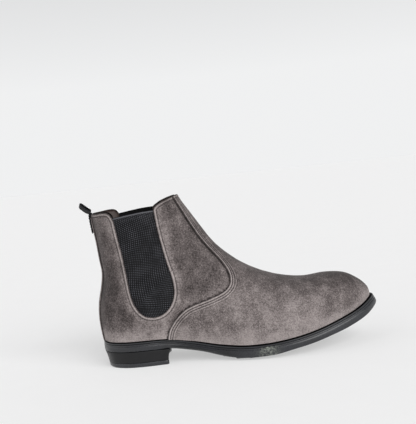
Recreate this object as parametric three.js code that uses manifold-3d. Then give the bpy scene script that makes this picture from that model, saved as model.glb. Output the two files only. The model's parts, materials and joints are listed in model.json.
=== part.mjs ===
// A right-foot chelsea boot: suede vamp and quarters lasted over a wooden-last shape, elastic side
// gores, leather lining, stiffeners, a cemented bottom with a lugged rubber outsole, and a stacked heel.
//
// Units are millimetres. While the boot is being made, X runs from the heel to the toe, Z is up from the
// ground, and the lateral (outer) side is at -Y. The last step centres the boot on its own footprint.
//
// Everything follows two shapes. The last is the surface at the outer face of the quarters, given by
// stations that fan from the toe to the top of the shaft. The feather line is the footprint on which
// the upper meets the bottom, and all bottom parts are plates at a depth below it.
import * as THREE from "three";
import { mergeVertices } from "three/addons/utils/BufferGeometryUtils.js";
import Module from "manifold-3d";

const wasm = await Module();
wasm.setup();

// ---- Driving dimensions ----

const GAP = 0.3; // clearance between pieces that touch
const UPPER = 1.5; // thickness of the suede
const ELASTIC = 1.3; // thickness of a gore
const LINING = 1.0; // thickness of the lining leather
const STIFFENER = 1.1; // thickness of the toe puff and the heel counter
const UNDERLAP = 8; // how far a quarter runs under the vamp, and a gore under its quarter

const WELT = 2.8; // thickness of the welt
const SOLE_EDGE = 10.8; // welt and outsole together
const LUG = 5.1; // depth of the tread lugs
const TOP_LIFT = 5; // thickness of the heel's rubber top lift
const HEEL_BREAST = 74; // where the heel's front face meets the outsole
const HEEL_BACK = 2.5; // where the feather line crosses the centre line at the heel
const TOE_TIP = 297.5; // where the feather line crosses it at the toe

const TAB_WIDTH = 18; // webbing of the pull tab
const TAB_LEG = 20; // length of the pull tab that is sewn down the back
const TAB_LOOP = 14; // how far its loop stands above the topline
const STRIP_WIDTH = 20; // of the suede strip down the back
const TAB_LEAN = 48; // degrees that the loop leans back from upright

// Depths below the last's surface, positive inwards. The vamp and the back strip lie on top of it.
const DEPTH = {
  vamp: -UPPER,
  backStrip: -UPPER + 0.2,
  quarter: GAP,
  gore: 2 * GAP + UPPER,
  lining: 4 * GAP + UPPER + ELASTIC,
  toeLining: 2 * GAP + STIFFENER,
};

// Footprint of the feather line, once round from the heel along the lateral side to the toe.
const FOOTPRINT = [
  [HEEL_BACK, 0], [5, -11], [12, -22], [26, -29.5], [45, -32], [72, -30.5], [102, -30.5], [132, -37],
  [160, -44.5], [186, -48], [210, -47], [234, -42], [258, -32.5], [278, -21], [290.5, -9], [TOE_TIP, 4],
  [292, 17], [281, 27], [262, 35], [240, 41.5], [216, 45], [194, 44.5], [170, 40], [146, 33],
  [122, 26.5], [98, 25], [72, 28], [45, 31], [26, 29], [12, 22], [5, 11],
];

// Height of the feather line above the ground along the boot: level heel seat, waist, ball, toe spring.
const FEATHER_HEIGHT = [
  [-10, 28.8], [20, 28.6], [50, 28.5], [76, 27.4], [102, 22.9], [127, 18.2], [152, 15.8], [176, 16.4],
  [202, 19.1], [228, 23.6], [254, 30.2], [276, 36.9], [290, 42.6], [298, 46.3], [310, 52.1],
];

// Back curve of the last, from the heel seat to above the topline.
const BACK_CURVE = [
  [2.5, 28.8], [0.9, 42], [0.5, 55], [2.1, 70], [6.4, 87], [8.7, 102], [7.4, 118], [6, 136], [3.6, 159],
  [2.4, 176],
];

// Stations of the last, one for each section plane between the crest (toe, instep, front) and the base
// (feather line, then the back curve). crest: its point; base: x on the feather line, or the height on
// the back curve; bulge: how far the widest points stand outside the footprint, lateral and medial;
// waist: where the widest points are, from 0 at the crest to 1 at the base; ridge: the crest's own y.
const STATIONS = [
  { crest: [297.5, 46.1], base: 297.5, bulge: [1, 1], waist: 0.6, ridge: 4 },
  { crest: [296.7, 52.6], base: 294.8, bulge: [1.5, 1.5], waist: 0.6, ridge: 4 },
  { crest: [293.6, 57.8], base: 289.4, bulge: [2, 2], waist: 0.62, ridge: 4 },
  { crest: [285.8, 65], base: 280.2, bulge: [2.2, 2.2], waist: 0.65, ridge: 4 },
  { crest: [272, 72.4], base: 265, bulge: [2.4, 2.4], waist: 0.68, ridge: 4 },
  { crest: [252, 74.6], base: 243, bulge: [2.5, 2.5], waist: 0.7, ridge: 4 },
  { crest: [228, 72.9], base: 217, bulge: [2.5, 2.5], waist: 0.72, ridge: 4 },
  { crest: [204, 76.6], base: 190, bulge: [2.5, 2.5], waist: 0.73, ridge: 4 },
  { crest: [181, 84.6], base: 160, bulge: [3, 3.5], waist: 0.73, ridge: 4 },
  { crest: [161, 95.6], base: 128, bulge: [4, 6], waist: 0.72, ridge: 3.5 },
  { crest: [146, 107.4], base: 95, bulge: [5.5, 8], waist: 0.7, ridge: 3 },
  { crest: [136, 117.2], base: 62, bulge: [6, 7], waist: 0.68, ridge: 2 },
  { crest: [129, 126], base: 30, bulge: [4.5, 5], waist: 0.64, ridge: 1 },
  { crest: [124, 133.6], base: "corner", bulge: [3.5, 4], waist: 0.58, ridge: 0.5 },
  { crest: [118.5, 142.6], base: 48, bulge: [2.5, 3], waist: 0.52, ridge: 0 },
  { crest: [112.2, 153], base: 75, bulge: [1.5, 2], waist: 0.5, ridge: 0 },
  { crest: [106.6, 162.2], base: 105, bulge: [1, 1.5], waist: 0.5, ridge: 0 },
  { crest: [101.6, 170.4], base: 137, bulge: [1.5, 2], waist: 0.5, ridge: 0 },
  { crest: [95, 183.5], base: 173, bulge: [2.5, 3], waist: 0.5, ridge: 0 },
];
const CORNER = STATIONS.findIndex((station) => station.base === "corner");
const TOP_STATION = STATIONS.length - 1;

// Seen from the side: the vamp's edge over the quarter, from the topline round its nose to the welt.
const VAMP_SEAM = [
  [91.5, 181], [95.7, 173.1], [103.6, 157.5], [111.6, 141.8], [118.6, 129.5], [126.5, 118.2],
  [136, 106.5], [143.4, 95.5], [146.3, 86.5], [145, 78.5], [138.5, 72.6], [129, 68.8], [119, 65.6],
  [108, 62.4], [97.5, 58.6], [88.5, 52.2], [81.5, 44.5], [76.5, 36], [73.5, 24],
];
// The quarter's U-shaped edge round the gore, from its rear top corner to its front top corner.
const GORE_EDGE = [
  [27.5, 176], [29.7, 161.2], [32, 141.8], [35.3, 119.6], [37.6, 97.5], [39.8, 79], [43.4, 66.4],
  [51, 56.4], [61.2, 53], [72, 55.2], [81.2, 63.4], [86.2, 76], [85.8, 91.1], [81.4, 109.7],
  [76.7, 135.8], [74.4, 155], [73.2, 176],
];
const GORE_TOP = [[20, 160.2], [29.7, 161.4], [45, 163.4], [60, 165], [73.5, 165.6], [85, 165.6]];
// Topline of the quarters: the rear part and the higher, round-shouldered front part.
const REAR_TOP = [[-14, 166.4], [7, 166.6], [19, 167.6], [24.5, 166.6], [27.6, 163.4], [31, 156]];
const FRONT_TOP = [
  [72.6, 157], [73.6, 165.6], [76.5, 169.6], [82, 172.8], [90, 175.8], [98, 178.2], [112, 181],
];

// ---- Small helpers ----

const lerp = THREE.MathUtils.lerp;
const smoothstep = THREE.MathUtils.smoothstep;

// A smooth curve through points in a plane, as a list of Vector2.
function smoothLine(points, count) {
  return new THREE.SplineCurve(points.map((p) => new THREE.Vector2(...p))).getPoints(count);
}

// The value at x of a line of points whose x only grows.
function valueAt(line, x) {
  let i = 1;
  while (i < line.length - 1 && line[i].x < x) i++;
  const [a, b] = [line[i - 1], line[i]];
  return lerp(a.y, b.y, THREE.MathUtils.clamp((x - a.x) / (b.x - a.x), 0, 1));
}

// A smooth interpolation through one number of each station.
function stationValue(pick, s) {
  const i = Math.min(Math.floor(s), TOP_STATION - 1);
  const at = (k) => pick(STATIONS[THREE.MathUtils.clamp(k, 0, TOP_STATION)]);
  const [p0, p1, p2, p3] = [at(i - 1), at(i), at(i + 1), at(i + 2)];
  const t = s - i;
  const [m1, m2] = [(p2 - p0) / 2, (p3 - p1) / 2];
  return (2 * p1 - 2 * p2 + m1 + m2) * t ** 3 + (3 * p2 - 3 * p1 - 2 * m1 - m2) * t * t + m1 * t + p1;
}

// ---- Footprint and feather line ----

const footprintCurve = new THREE.CatmullRomCurve3(
  FOOTPRINT.map(([x, y]) => new THREE.Vector3(x, y, 0)), true, "centripetal",
);
const FOOTPRINT_STEPS = 480;
const footprint = footprintCurve.getSpacedPoints(FOOTPRINT_STEPS).slice(0, -1);
const featherLine = smoothLine(FEATHER_HEIGHT, 300);
const backLine = smoothLine(BACK_CURVE.map(([x, z]) => [z, x]), 200);

const featherHeight = (x) => valueAt(featherLine, x);
const backX = (z) => valueAt(backLine, z);

// The footprint moved outwards by margin(x), as its lateral and medial halves, both from heel to toe.
function footprintHalves(margin) {
  const count = footprint.length;
  const moved = footprint.map((p, i) => {
    const ahead = footprint[(i + 1) % count];
    const behind = footprint[(i + count - 1) % count];
    const along = new THREE.Vector2(ahead.x - behind.x, ahead.y - behind.y).normalize();
    const m = margin(p.x);
    return new THREE.Vector2(p.x + along.y * m, p.y - along.x * m);
  });
  const xs = moved.map((p) => p.x);
  const heel = xs.indexOf(Math.min(...xs));
  const toe = xs.indexOf(Math.max(...xs));
  const walk = (from, to, step) => {
    const half = [moved[from]];
    for (let i = from; i !== to; ) {
      i = (i + step + count) % count;
      if (moved[i].x > half[half.length - 1].x) half.push(moved[i]);
    }
    return half;
  };
  return { lateral: walk(heel, toe, 1), medial: walk(heel, toe, -1), from: moved[heel].x, to: moved[toe].x };
}
const feather = footprintHalves(() => 0);
// The sole's edge stands a little outside the upper at the heel, and more round the forefoot.
const weltMargin = (x) => lerp(1, 4.2, smoothstep(x, 60, 150));
const soleEdge = footprintHalves(weltMargin);

// A point of the bottom at a depth below the feather plane, measured square to it.
function solePoint(x, y, depth) {
  const slope = (featherHeight(x + 1) - featherHeight(x - 1)) / 2;
  const length = Math.hypot(1, slope);
  return new THREE.Vector3(x + (depth * slope) / length, y, featherHeight(x) - depth / length);
}

// ---- The last ----

// The y of the footprint at x, on the side of sign -1 (lateral) or 1 (medial).
const footprintY = (x, side) =>
  valueAt(side < 0 ? feather.lateral : feather.medial, THREE.MathUtils.clamp(x, feather.from, feather.to));

// Where the base of section s lies on the feather line. In the last span before the corner it goes
// round the heel, so it slows down towards the back.
function featherX(s) {
  const turn = s - (CORNER - 1);
  if (turn <= 0) return stationValue((q) => (q.base === "corner" ? HEEL_BACK : q.base), s);
  const start = STATIONS[CORNER - 1].base;
  return start - (start - HEEL_BACK) * Math.sin((turn * Math.PI) / 2);
}

// How high the base of section s lies on the back curve.
const backHeights = [featherHeight(HEEL_BACK), ...STATIONS.slice(CORNER + 1).map((station) => station.base)];
function backHeight(s) {
  const i = Math.min(Math.floor(s - CORNER), backHeights.length - 2);
  return lerp(backHeights[i], backHeights[i + 1], s - CORNER - i);
}

// The section at s: its crest and base in the XZ plane, and how its sides end. closing is 0 where they
// stand on the feather line and 1 where they meet at the back.
function section(s) {
  const crest = [stationValue((q) => q.crest[0], s), stationValue((q) => q.crest[1], s)];
  if (s > CORNER) {
    const z = backHeight(s);
    return { crest, base: [backX(z), z], closing: 1 };
  }
  const x = THREE.MathUtils.clamp(featherX(s), HEEL_BACK, TOE_TIP);
  return { crest, base: [x, featherHeight(x)], closing: smoothstep(s, CORNER - 1, CORNER) };
}

// How far the last stands out on one side at a point of section s, before its bulge is added. Low down
// it is the footprint. Up the shaft it keeps the heel's round back and runs straight on from it.
const SHAFT_BACK = 45; // where the sides of the shaft have reached their full width
function girth(s, x, z, side) {
  const straight = lerp(x, Math.min(x, SHAFT_BACK), smoothstep(s, 10, 14));
  const lean = (backX(z) - HEEL_BACK) * (1 - smoothstep(x, 60, 110));
  return footprintY(straight - lean, side);
}

// A point of the last. tau runs from -1 (lateral base) through 0 (crest) to 1 (medial base).
function lastPoint(s, tau) {
  const { crest, base, closing } = section(s);
  const side = tau < 0 ? -1 : 1;
  const waist = stationValue((q) => q.waist, s);
  const bulge = side * stationValue((q) => q.bulge[side < 0 ? 0 : 1], s);
  const ridge = stationValue((q) => q.ridge, s);
  const sideView = (along) => [lerp(crest[0], base[0], along), lerp(crest[1], base[1], along)];
  const wide = girth(s, ...sideView(waist), side) + bulge;
  const foot = girth(s, ...base, side);
  const height = Math.hypot(base[0] - crest[0], base[1] - crest[1]);
  // Share tau between the part over the widest point and the part under it by their lengths.
  const upperLength = Math.hypot(wide - ridge, waist * height);
  const lowerLength = Math.hypot(wide - foot, (1 - waist) * height);
  const split = upperLength / (upperLength + lowerLength + 1e-9);
  const t = Math.min(Math.abs(tau), 1);
  if (t <= split) {
    const angle = (t / split) * (Math.PI / 2);
    const [x, z] = sideView(waist * (1 - Math.cos(angle)));
    return new THREE.Vector3(x, lerp(ridge, girth(s, x, z, side) + bulge, Math.sin(angle)), z);
  }
  const angle = ((t - split) / (1 - split)) * (Math.PI / 2);
  const [x, z] = sideView(waist + (1 - waist) * lerp(angle / (Math.PI / 2), Math.sin(angle), closing));
  return new THREE.Vector3(x, girth(s, x, z, side) + bulge * Math.cos(angle), z);
}

// The last's outward normal. Next to the toe's tip, where the sections shrink to a point, it is held.
function lastNormal(s, tau) {
  const [stepS, stepT] = [0.05, 0.05];
  const held = THREE.MathUtils.clamp(s, 0.3, TOP_STATION - stepS);
  const side = tau < 0 ? -1 : 1;
  const t = THREE.MathUtils.clamp(Math.abs(tau), stepT, 1 - stepT);
  const alongS = lastPoint(held + stepS, side * t).sub(lastPoint(held - stepS, side * t));
  const alongT = lastPoint(held, side * (t + stepT)).sub(lastPoint(held, side * (t - stepT)));
  const normal = alongS.cross(alongT).multiplyScalar(-side);
  const onCentre = Math.abs(tau) < stepT || (Math.abs(tau) > 1 - stepT && s >= CORNER);
  if (onCentre) normal.setY(0);
  return normal.normalize();
}

const depthPoint = (s, tau, depth) => lastPoint(s, tau).addScaledVector(lastNormal(s, tau), -depth);

// ---- Solids ----

// A solid from triangles given as points. Points that are the same are welded, and triangles that
// shrink to a line are left out.
function solidFrom(triangles) {
  const vertices = [];
  const indices = [];
  const known = new Map();
  const indexOf = (p) => {
    const key = [p.x, p.y, p.z].map((v) => Math.round(v * 5000)).join(",");
    if (!known.has(key)) {
      known.set(key, vertices.length / 3);
      vertices.push(p.x, p.y, p.z);
    }
    return known.get(key);
  };
  for (const triangle of triangles) {
    const [a, b, c] = triangle.map(indexOf);
    if (a !== b && b !== c && c !== a) indices.push(a, b, c);
  }
  const solid = new wasm.Manifold(new wasm.Mesh({
    numProp: 3, vertProperties: new Float32Array(vertices), triVerts: new Uint32Array(indices),
  }));
  if (solid.volume() > 0) return solid;
  const turned = new Uint32Array(indices);
  for (let i = 0; i < turned.length; i += 3) [turned[i + 1], turned[i + 2]] = [turned[i + 2], turned[i + 1]];
  const vertProperties = new Float32Array(vertices);
  return new wasm.Manifold(new wasm.Mesh({ numProp: 3, vertProperties, triVerts: turned }));
}

const quad = (a, b, c, d) => [[a, b, c], [a, c, d]];

// A solid lofted through closed rings of the same number of points, with its two ends closed.
function loft(rings) {
  const triangles = [];
  const n = rings[0].length;
  for (let i = 0; i + 1 < rings.length; i++)
    for (let j = 0; j < n; j++) {
      const k = (j + 1) % n;
      triangles.push(...quad(rings[i][j], rings[i][k], rings[i + 1][k], rings[i + 1][j]));
    }
  for (let j = 1; j + 1 < n; j++) {
    triangles.push([rings[0][0], rings[0][j + 1], rings[0][j]]);
    const last = rings[rings.length - 1];
    triangles.push([last[0], last[j], last[j + 1]]);
  }
  return solidFrom(triangles);
}

// The same for rings that close on themselves, such as the welt.
function loop(rings) {
  const triangles = [];
  rings.forEach((ring, i) => {
    const next = rings[(i + 1) % rings.length];
    ring.forEach((p, j) => {
      const k = (j + 1) % ring.length;
      triangles.push(...quad(p, ring[k], next[k], next[j]));
    });
  });
  return solidFrom(triangles);
}

// A three.js geometry as a solid.
function solidOf(geometry) {
  const bare = geometry.clone().deleteAttribute("normal").deleteAttribute("uv");
  const merged = mergeVertices(bare, 1e-4);
  return new wasm.Manifold(new wasm.Mesh({
    numProp: 3,
    vertProperties: new Float32Array(merged.attributes.position.array),
    triVerts: new Uint32Array(merged.index.array),
  }));
}

// A sheet of the upper between two depths below the last, over whole rows of the last's grid. All
// sheets share that grid, so that the clearance between two of them is the same everywhere. sides are
// the signs of tau: both sides make one sheet over the crest.
const COLUMNS = 8; // of the grid, from the crest to the base
const gridRows = [];
for (let station = 0; station < TOP_STATION; station++) {
  const count = station === CORNER - 1 ? 5 : 1; // close together round the heel
  for (let i = 0; i < count; i++) gridRows.push(station + i / count);
}
gridRows.push(TOP_STATION);

const bothSides = [-1, 1];
function sheet({
  from = 0, to = TOP_STATION, fromColumn = 0, outer, inner, sides = bothSides, overBack = false,
}) {
  const columns = Array.from({ length: COLUMNS + 1 - fromColumn }, (_, j) => (j + fromColumn) / COLUMNS);
  const ALMOST_ZERO = 1e-9; // keeps the sign of the side at the crest
  const lateral = columns.map((t) => -(t || ALMOST_ZERO)).reverse();
  const medial = columns.map((t) => t || ALMOST_ZERO);
  let taus = sides[0] < 0 ? lateral : medial;
  if (sides.length === 2)
    taus = overBack ? [...medial, ...lateral.slice(1)] : [...lateral, ...medial.slice(1)];
  const line = (s, depthOf) => taus.map((tau) => depthPoint(s, tau, depthOf(lastPoint(s, tau))));
  const rings = gridRows.filter((s) => s >= from && s <= to).map((s) => [line(s, outer), line(s, inner)]);
  const rows = rings.length - 1;
  const triangles = [];
  const n = taus.length;
  for (let i = 0; i < rows; i++) {
    const [[outerA, innerA], [outerB, innerB]] = [rings[i], rings[i + 1]];
    for (let j = 0; j + 1 < n; j++) {
      // The diagonals of the two sides mirror each other.
      const [k, l] = taus[j] + taus[j + 1] > 0 ? [j + 1, j] : [j, j + 1];
      const outerFace = quad(outerA[k], outerA[l], outerB[l], outerB[k]);
      const innerFace = quad(innerA[k], innerA[l], innerB[l], innerB[k]);
      const turned = (face) => face.map(([p, q, r]) => [p, r, q]);
      triangles.push(...(k === j ? outerFace : turned(outerFace)));
      triangles.push(...(k === j ? turned(innerFace) : innerFace));
    }
    triangles.push(...quad(outerA[0], outerB[0], innerB[0], innerA[0]));
    triangles.push(...quad(outerA[n - 1], innerA[n - 1], innerB[n - 1], outerB[n - 1]));
  }
  for (const [i, turn] of [[0, false], [rows, true]]) {
    const [outerLine, innerLine] = rings[i];
    for (let j = 0; j + 1 < n; j++) {
      const face = [outerLine[j], innerLine[j], innerLine[j + 1], outerLine[j + 1]];
      triangles.push(...quad(...(turn ? face.reverse() : face)));
    }
  }
  return solidFrom(triangles);
}

// A cutter: an outline drawn from the side, run through the boot from y = from to y = to.
function sideCutter(outline, from = -90, to = 90) {
  const shape = new THREE.Shape(outline.map(([x, z]) => new THREE.Vector2(x, z)));
  const geometry = new THREE.ExtrudeGeometry(shape, { depth: to - from, bevelEnabled: false });
  // The shape's own Y becomes the boot's Z, and its extrusion the boot's -Y.
  geometry.rotateX(Math.PI / 2).translate(0, to, 0);
  return solidOf(geometry);
}

// An outline moved sideways by a distance, to the left of its own direction.
function shifted(points, distance) {
  return points.map((p, i) => {
    const ahead = points[Math.min(i + 1, points.length - 1)];
    const behind = points[Math.max(i - 1, 0)];
    const [dx, dz] = [ahead[0] - behind[0], ahead[1] - behind[1]];
    const length = Math.hypot(dx, dz);
    return [p[0] - (dz / length) * distance, p[1] + (dx / length) * distance];
  });
}

const smoothed = (points, count) => smoothLine(points, count).map((p) => [p.x, p.y]);

const mesh = (name, solid, look) => {
  const { numProp, vertProperties, triVerts } = solid.getMesh();
  const positions = new Float32Array((vertProperties.length / numProp) * 3);
  for (let i = 0; i < positions.length / 3; i++)
    positions.set(vertProperties.subarray(i * numProp, i * numProp + 3), i * 3);
  const geometry = new THREE.BufferGeometry()
    .setAttribute("position", new THREE.BufferAttribute(positions, 3))
    .setIndex(new THREE.BufferAttribute(triVerts, 1));
  geometry.computeVertexNormals();
  const made = new THREE.Mesh(geometry, look);
  made.name = name;
  return made;
};

// ---- Materials ----

const finish = (color, roughness, metalness = 0) =>
  new THREE.MeshStandardMaterial({ color, roughness, metalness });
const looks = {
  suede: finish(0x6b605c, 0.95),
  elastic: finish(0x17171a, 0.85),
  webbing: finish(0x111113, 0.8),
  lining: finish(0x6a5049, 0.75),
  board: finish(0xb59a74, 0.9),
  stiffener: finish(0xd8d0bd, 0.85),
  footbed: finish(0x4a3a33, 0.8),
  foam: finish(0xc9c2b4, 0.95),
  cork: finish(0x9c7448, 0.95),
  welt: finish(0x202124, 0.45),
  rubber: finish(0x1a1b1d, 0.55),
  heel: finish(0x1f2023, 0.4),
  steel: finish(0x9a9ca0, 0.35, 1),
};

// ---- Cutting outlines of the upper, all seen from the side ----

const seam = smoothed(VAMP_SEAM, 54);
const goreEdge = smoothed(GORE_EDGE, 48);
const FAR = 400; // beyond the boot on every side
const last = (line) => line[line.length - 1];
// Everything behind and under a line that runs from the topline to the welt.
const behind = (line) => [[-FAR, FAR], [line[0][0], FAR], ...line, [last(line)[0], -FAR], [-FAR, -FAR]];
// Everything over a line that runs forward.
const above = (line) => [[line[0][0], FAR], ...line, [last(line)[0], FAR]];

const vampCut = sideCutter(behind(seam));
// The quarter runs on under the vamp by UNDERLAP, less the clearance that the sole needs.
const quarterReach = sideCutter(behind(shifted(seam, UNDERLAP)));
const goreHole = sideCutter(above(goreEdge));
const goreReach = sideCutter(above(shifted(goreEdge, -UNDERLAP + 1)));
const aboveGore = sideCutter(above(smoothed(GORE_TOP, 10)));
const aboveRear = sideCutter(above(smoothed(REAR_TOP, 16)));
const aboveFront = sideCutter(above(smoothed(FRONT_TOP, 16)));
// Everything under the feather line, with the clearance to the bottom.
const featherXs = Array.from({ length: 61 }, (_, i) => lerp(-20, 320, i / 60));
const underFeather = sideCutter([
  ...featherXs.map((x) => [x, featherHeight(x) + GAP]), [320, -FAR], [-20, -FAR],
]);
const underGround = sideCutter([[-FAR, 0], [FAR, 0], [FAR, -FAR], [-FAR, -FAR]]);
// One side of the boot, less half the clearance between its two sides.
const everything = [[-FAR, FAR], [FAR, FAR], [FAR, -FAR], [-FAR, -FAR]];
const sideHalf = (side) =>
  side < 0 ? sideCutter(everything, -FAR, -GAP / 2) : sideCutter(everything, GAP / 2, FAR);

const sides = { lateral: -1, medial: 1 };
const boot = new THREE.Group();
const tab = new THREE.Group();
boot.add(tab);

// ---- Upper ----

function makeVamp() {
  const blank = sheet({ outer: () => DEPTH.vamp, inner: () => 0 });
  return blank.subtract(vampCut).subtract(aboveFront).subtract(underFeather);
}

function makeQuarter(side) {
  const blank = sheet({
    from: 8, fromColumn: 1, sides: [side],
    outer: () => DEPTH.quarter, inner: () => DEPTH.quarter + UPPER,
  });
  return blank.intersect(quarterReach).intersect(sideHalf(side)).subtract(goreHole)
    .subtract(aboveRear).subtract(aboveFront).subtract(underFeather);
}

function makeGore(side) {
  const blank = sheet({
    from: 10, fromColumn: 1, sides: [side], outer: () => DEPTH.gore, inner: () => DEPTH.gore + ELASTIC,
  });
  return blank.intersect(goreReach).subtract(aboveGore);
}

function makeBackStrip() {
  const blank = sheet({
    from: CORNER, fromColumn: 7, overBack: true, outer: () => DEPTH.backStrip, inner: () => 0,
  });
  const room = new THREE.BoxGeometry(60, STRIP_WIDTH, FAR);
  return blank.intersect(solidOf(room)).subtract(aboveRear).subtract(underFeather);
}

boot.add(mesh("vamp", makeVamp(), looks.suede));
for (const [name, side] of Object.entries(sides)) {
  boot.add(mesh(`quarter_${name}`, makeQuarter(side), looks.suede));
  boot.add(mesh(`gore_${name}`, makeGore(side), looks.elastic));
}
boot.add(mesh("back_strip", makeBackStrip(), looks.suede));

// ---- Linings and stiffeners ----

// Under the vamp the lining lies on the toe puff. Further back it lies inside the quarters and gores.
const liningDepth = (p) => lerp(DEPTH.lining, DEPTH.toeLining, smoothstep(p.x, 156, 200));
const LINING_SEAM = [[152, 200], [134, 100], [112, 60], [98, -20]]; // vamp lining to quarter linings

function makeVampLining() {
  const blank = sheet({ to: 13, outer: liningDepth, inner: (p) => liningDepth(p) + LINING });
  return blank.subtract(sideCutter(behind(LINING_SEAM))).subtract(underFeather);
}

function makeQuarterLining(side) {
  const blank = sheet({
    from: 8, sides: [side], outer: () => DEPTH.lining, inner: () => DEPTH.lining + LINING,
  });
  return blank.intersect(sideCutter(behind(shifted(LINING_SEAM, -GAP)))).intersect(sideHalf(side))
    .subtract(goreHole).subtract(aboveRear).subtract(aboveFront).subtract(underFeather);
}

function makeToePuff() {
  const blank = sheet({ to: 6, outer: () => GAP, inner: () => GAP + STIFFENER });
  return blank.subtract(sideCutter(behind([[250, 200], [250, -20]]))).subtract(underFeather);
}

function makeHeelCounter() {
  // High round the back of the heel, with low wings along the heel seat.
  const COUNTER = [[-20, 78], [14, 77], [24, 70], [30, 56], [40, 46], [60, 42], [84, 38], [90, 20]];
  const layer = { to: 16, outer: () => DEPTH.gore, inner: () => DEPTH.gore + STIFFENER };
  const wings = Object.values(sides).map((side) =>
    sheet({ ...layer, from: 10, fromColumn: 3, sides: [side] }));
  const middle = sheet({ ...layer, from: CORNER, fromColumn: 7, overBack: true });
  const outline = smoothed(COUNTER, 20);
  return wings[0].add(wings[1]).add(middle).subtract(underFeather)
    .intersect(sideCutter([...outline, [90, -FAR], [-FAR, -FAR], [-FAR, 78]]));
}

boot.add(mesh("vamp_lining", makeVampLining(), looks.lining));
for (const [name, side] of Object.entries(sides))
  boot.add(mesh(`quarter_lining_${name}`, makeQuarterLining(side), looks.lining));
boot.add(mesh("toe_puff", makeToePuff(), looks.stiffener));
boot.add(mesh("heel_counter", makeHeelCounter(), looks.stiffener));

// ---- Bottom ----

// x stations that crowd towards both round ends.
const crowded = (from, to, count) =>
  Array.from({ length: count + 1 }, (_, i) => lerp(from, to, (1 - Math.cos((Math.PI * i) / count)) / 2));

// A plate with the footprint's shape moved by margin, between two depths below the feather plane.
function plate(margin, top, bottom, from = -FAR, to = FAR, count = 34) {
  const edge = footprintHalves(() => margin);
  const xs = crowded(Math.max(from, edge.from), Math.min(to, edge.to), count);
  return loft(xs.map((x) => {
    const [a, b] = [valueAt(edge.lateral, x), valueAt(edge.medial, x)];
    return [solePoint(x, a, top), solePoint(x, b, top), solePoint(x, b, bottom), solePoint(x, a, bottom)];
  }));
}

// The welt: a flat strip all round, with the cork filler and the shank inside it.
const WELT_INSIDE = -9;
function makeWelt() {
  const STEPS = 76;
  const rings = [];
  for (let i = 0; i < STEPS; i++) {
    const p = footprintCurve.getPointAt(i / STEPS);
    const along = footprintCurve.getTangentAt(i / STEPS);
    const out = new THREE.Vector2(along.y, -along.x).normalize();
    const at = (margin, depth) => solePoint(p.x + out.x * margin, p.y + out.y * margin, depth);
    const margin = weltMargin(p.x);
    rings.push([at(margin, 0), at(margin, WELT), at(WELT_INSIDE, WELT), at(WELT_INSIDE, 0)]);
  }
  return loop(rings);
}

// Heel fixings: nails on a ring and one screw, driven down through the bottom into the heel block.
const NAIL = { radius: 1.1, head: 2.2, length: 22 };
const SCREW = { radius: 2, head: 4, length: 24 };
const NAILS = [[20, -10], [20, 10], [56, -14], [56, 14]];
const SCREW_AT = [38, 0];
const FIXING_TOP = 31.3; // height of the heads, sunk into the insole board
function makeFixing({ radius, head, length }, [x, y], gap = 0) {
  const outline = [
    [0, -length - gap], [radius + gap, -length - gap], [radius + gap, -1.2 - gap], [head + gap, -1.2 - gap],
    [head + gap, gap], [0, gap],
  ];
  const geometry = new THREE.LatheGeometry(outline.map((p) => new THREE.Vector2(...p)), 10);
  geometry.rotateX(Math.PI / 2).translate(x, y, FIXING_TOP);
  return solidOf(geometry);
}
const fixingHoles = [...NAILS.map((at) => makeFixing(NAIL, at, GAP)), makeFixing(SCREW, SCREW_AT, GAP)];
const drilled = (solid) => fixingHoles.reduce((left, hole) => left.subtract(hole), solid);

// The shank lies in an open slot in the top of the filler.
const SHANK = { from: 48, to: 146, width: 13, top: 0, bottom: 1.6 };
function makeShank(gap = 0) {
  const xs = crowded(SHANK.from - gap, SHANK.to + gap, 10);
  const w = SHANK.width / 2 + gap;
  const [top, bottom] = [SHANK.top - gap, SHANK.bottom + gap];
  const section = [[-w, top], [w, top], [w, bottom], [-w, bottom]];
  return loft(xs.map((x) => section.map(([y, depth]) => solePoint(x, y, depth))));
}

// The tread: blocks round the edge and cleats down the middle, moulded in one with the outsole.
const TREAD = { from: 126, to: 282, pitch: 13, length: 8.6, inset: 7, width: 12, root: 9 };
function makeLug(x, y0, y1, length, skew = 0) {
  const lean = (y) => skew * Math.sign(y - (y0 + y1) / 2);
  const corner = (i, y, depth) => solePoint(x + i * length / 2 + lean(y), y, depth);
  return loft([-1, 1].map((i) => [
    corner(i, y0, TREAD.root), corner(i, y1, TREAD.root),
    corner(i, y1, SOLE_EDGE + LUG), corner(i, y0, SOLE_EDGE + LUG),
  ]));
}

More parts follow.
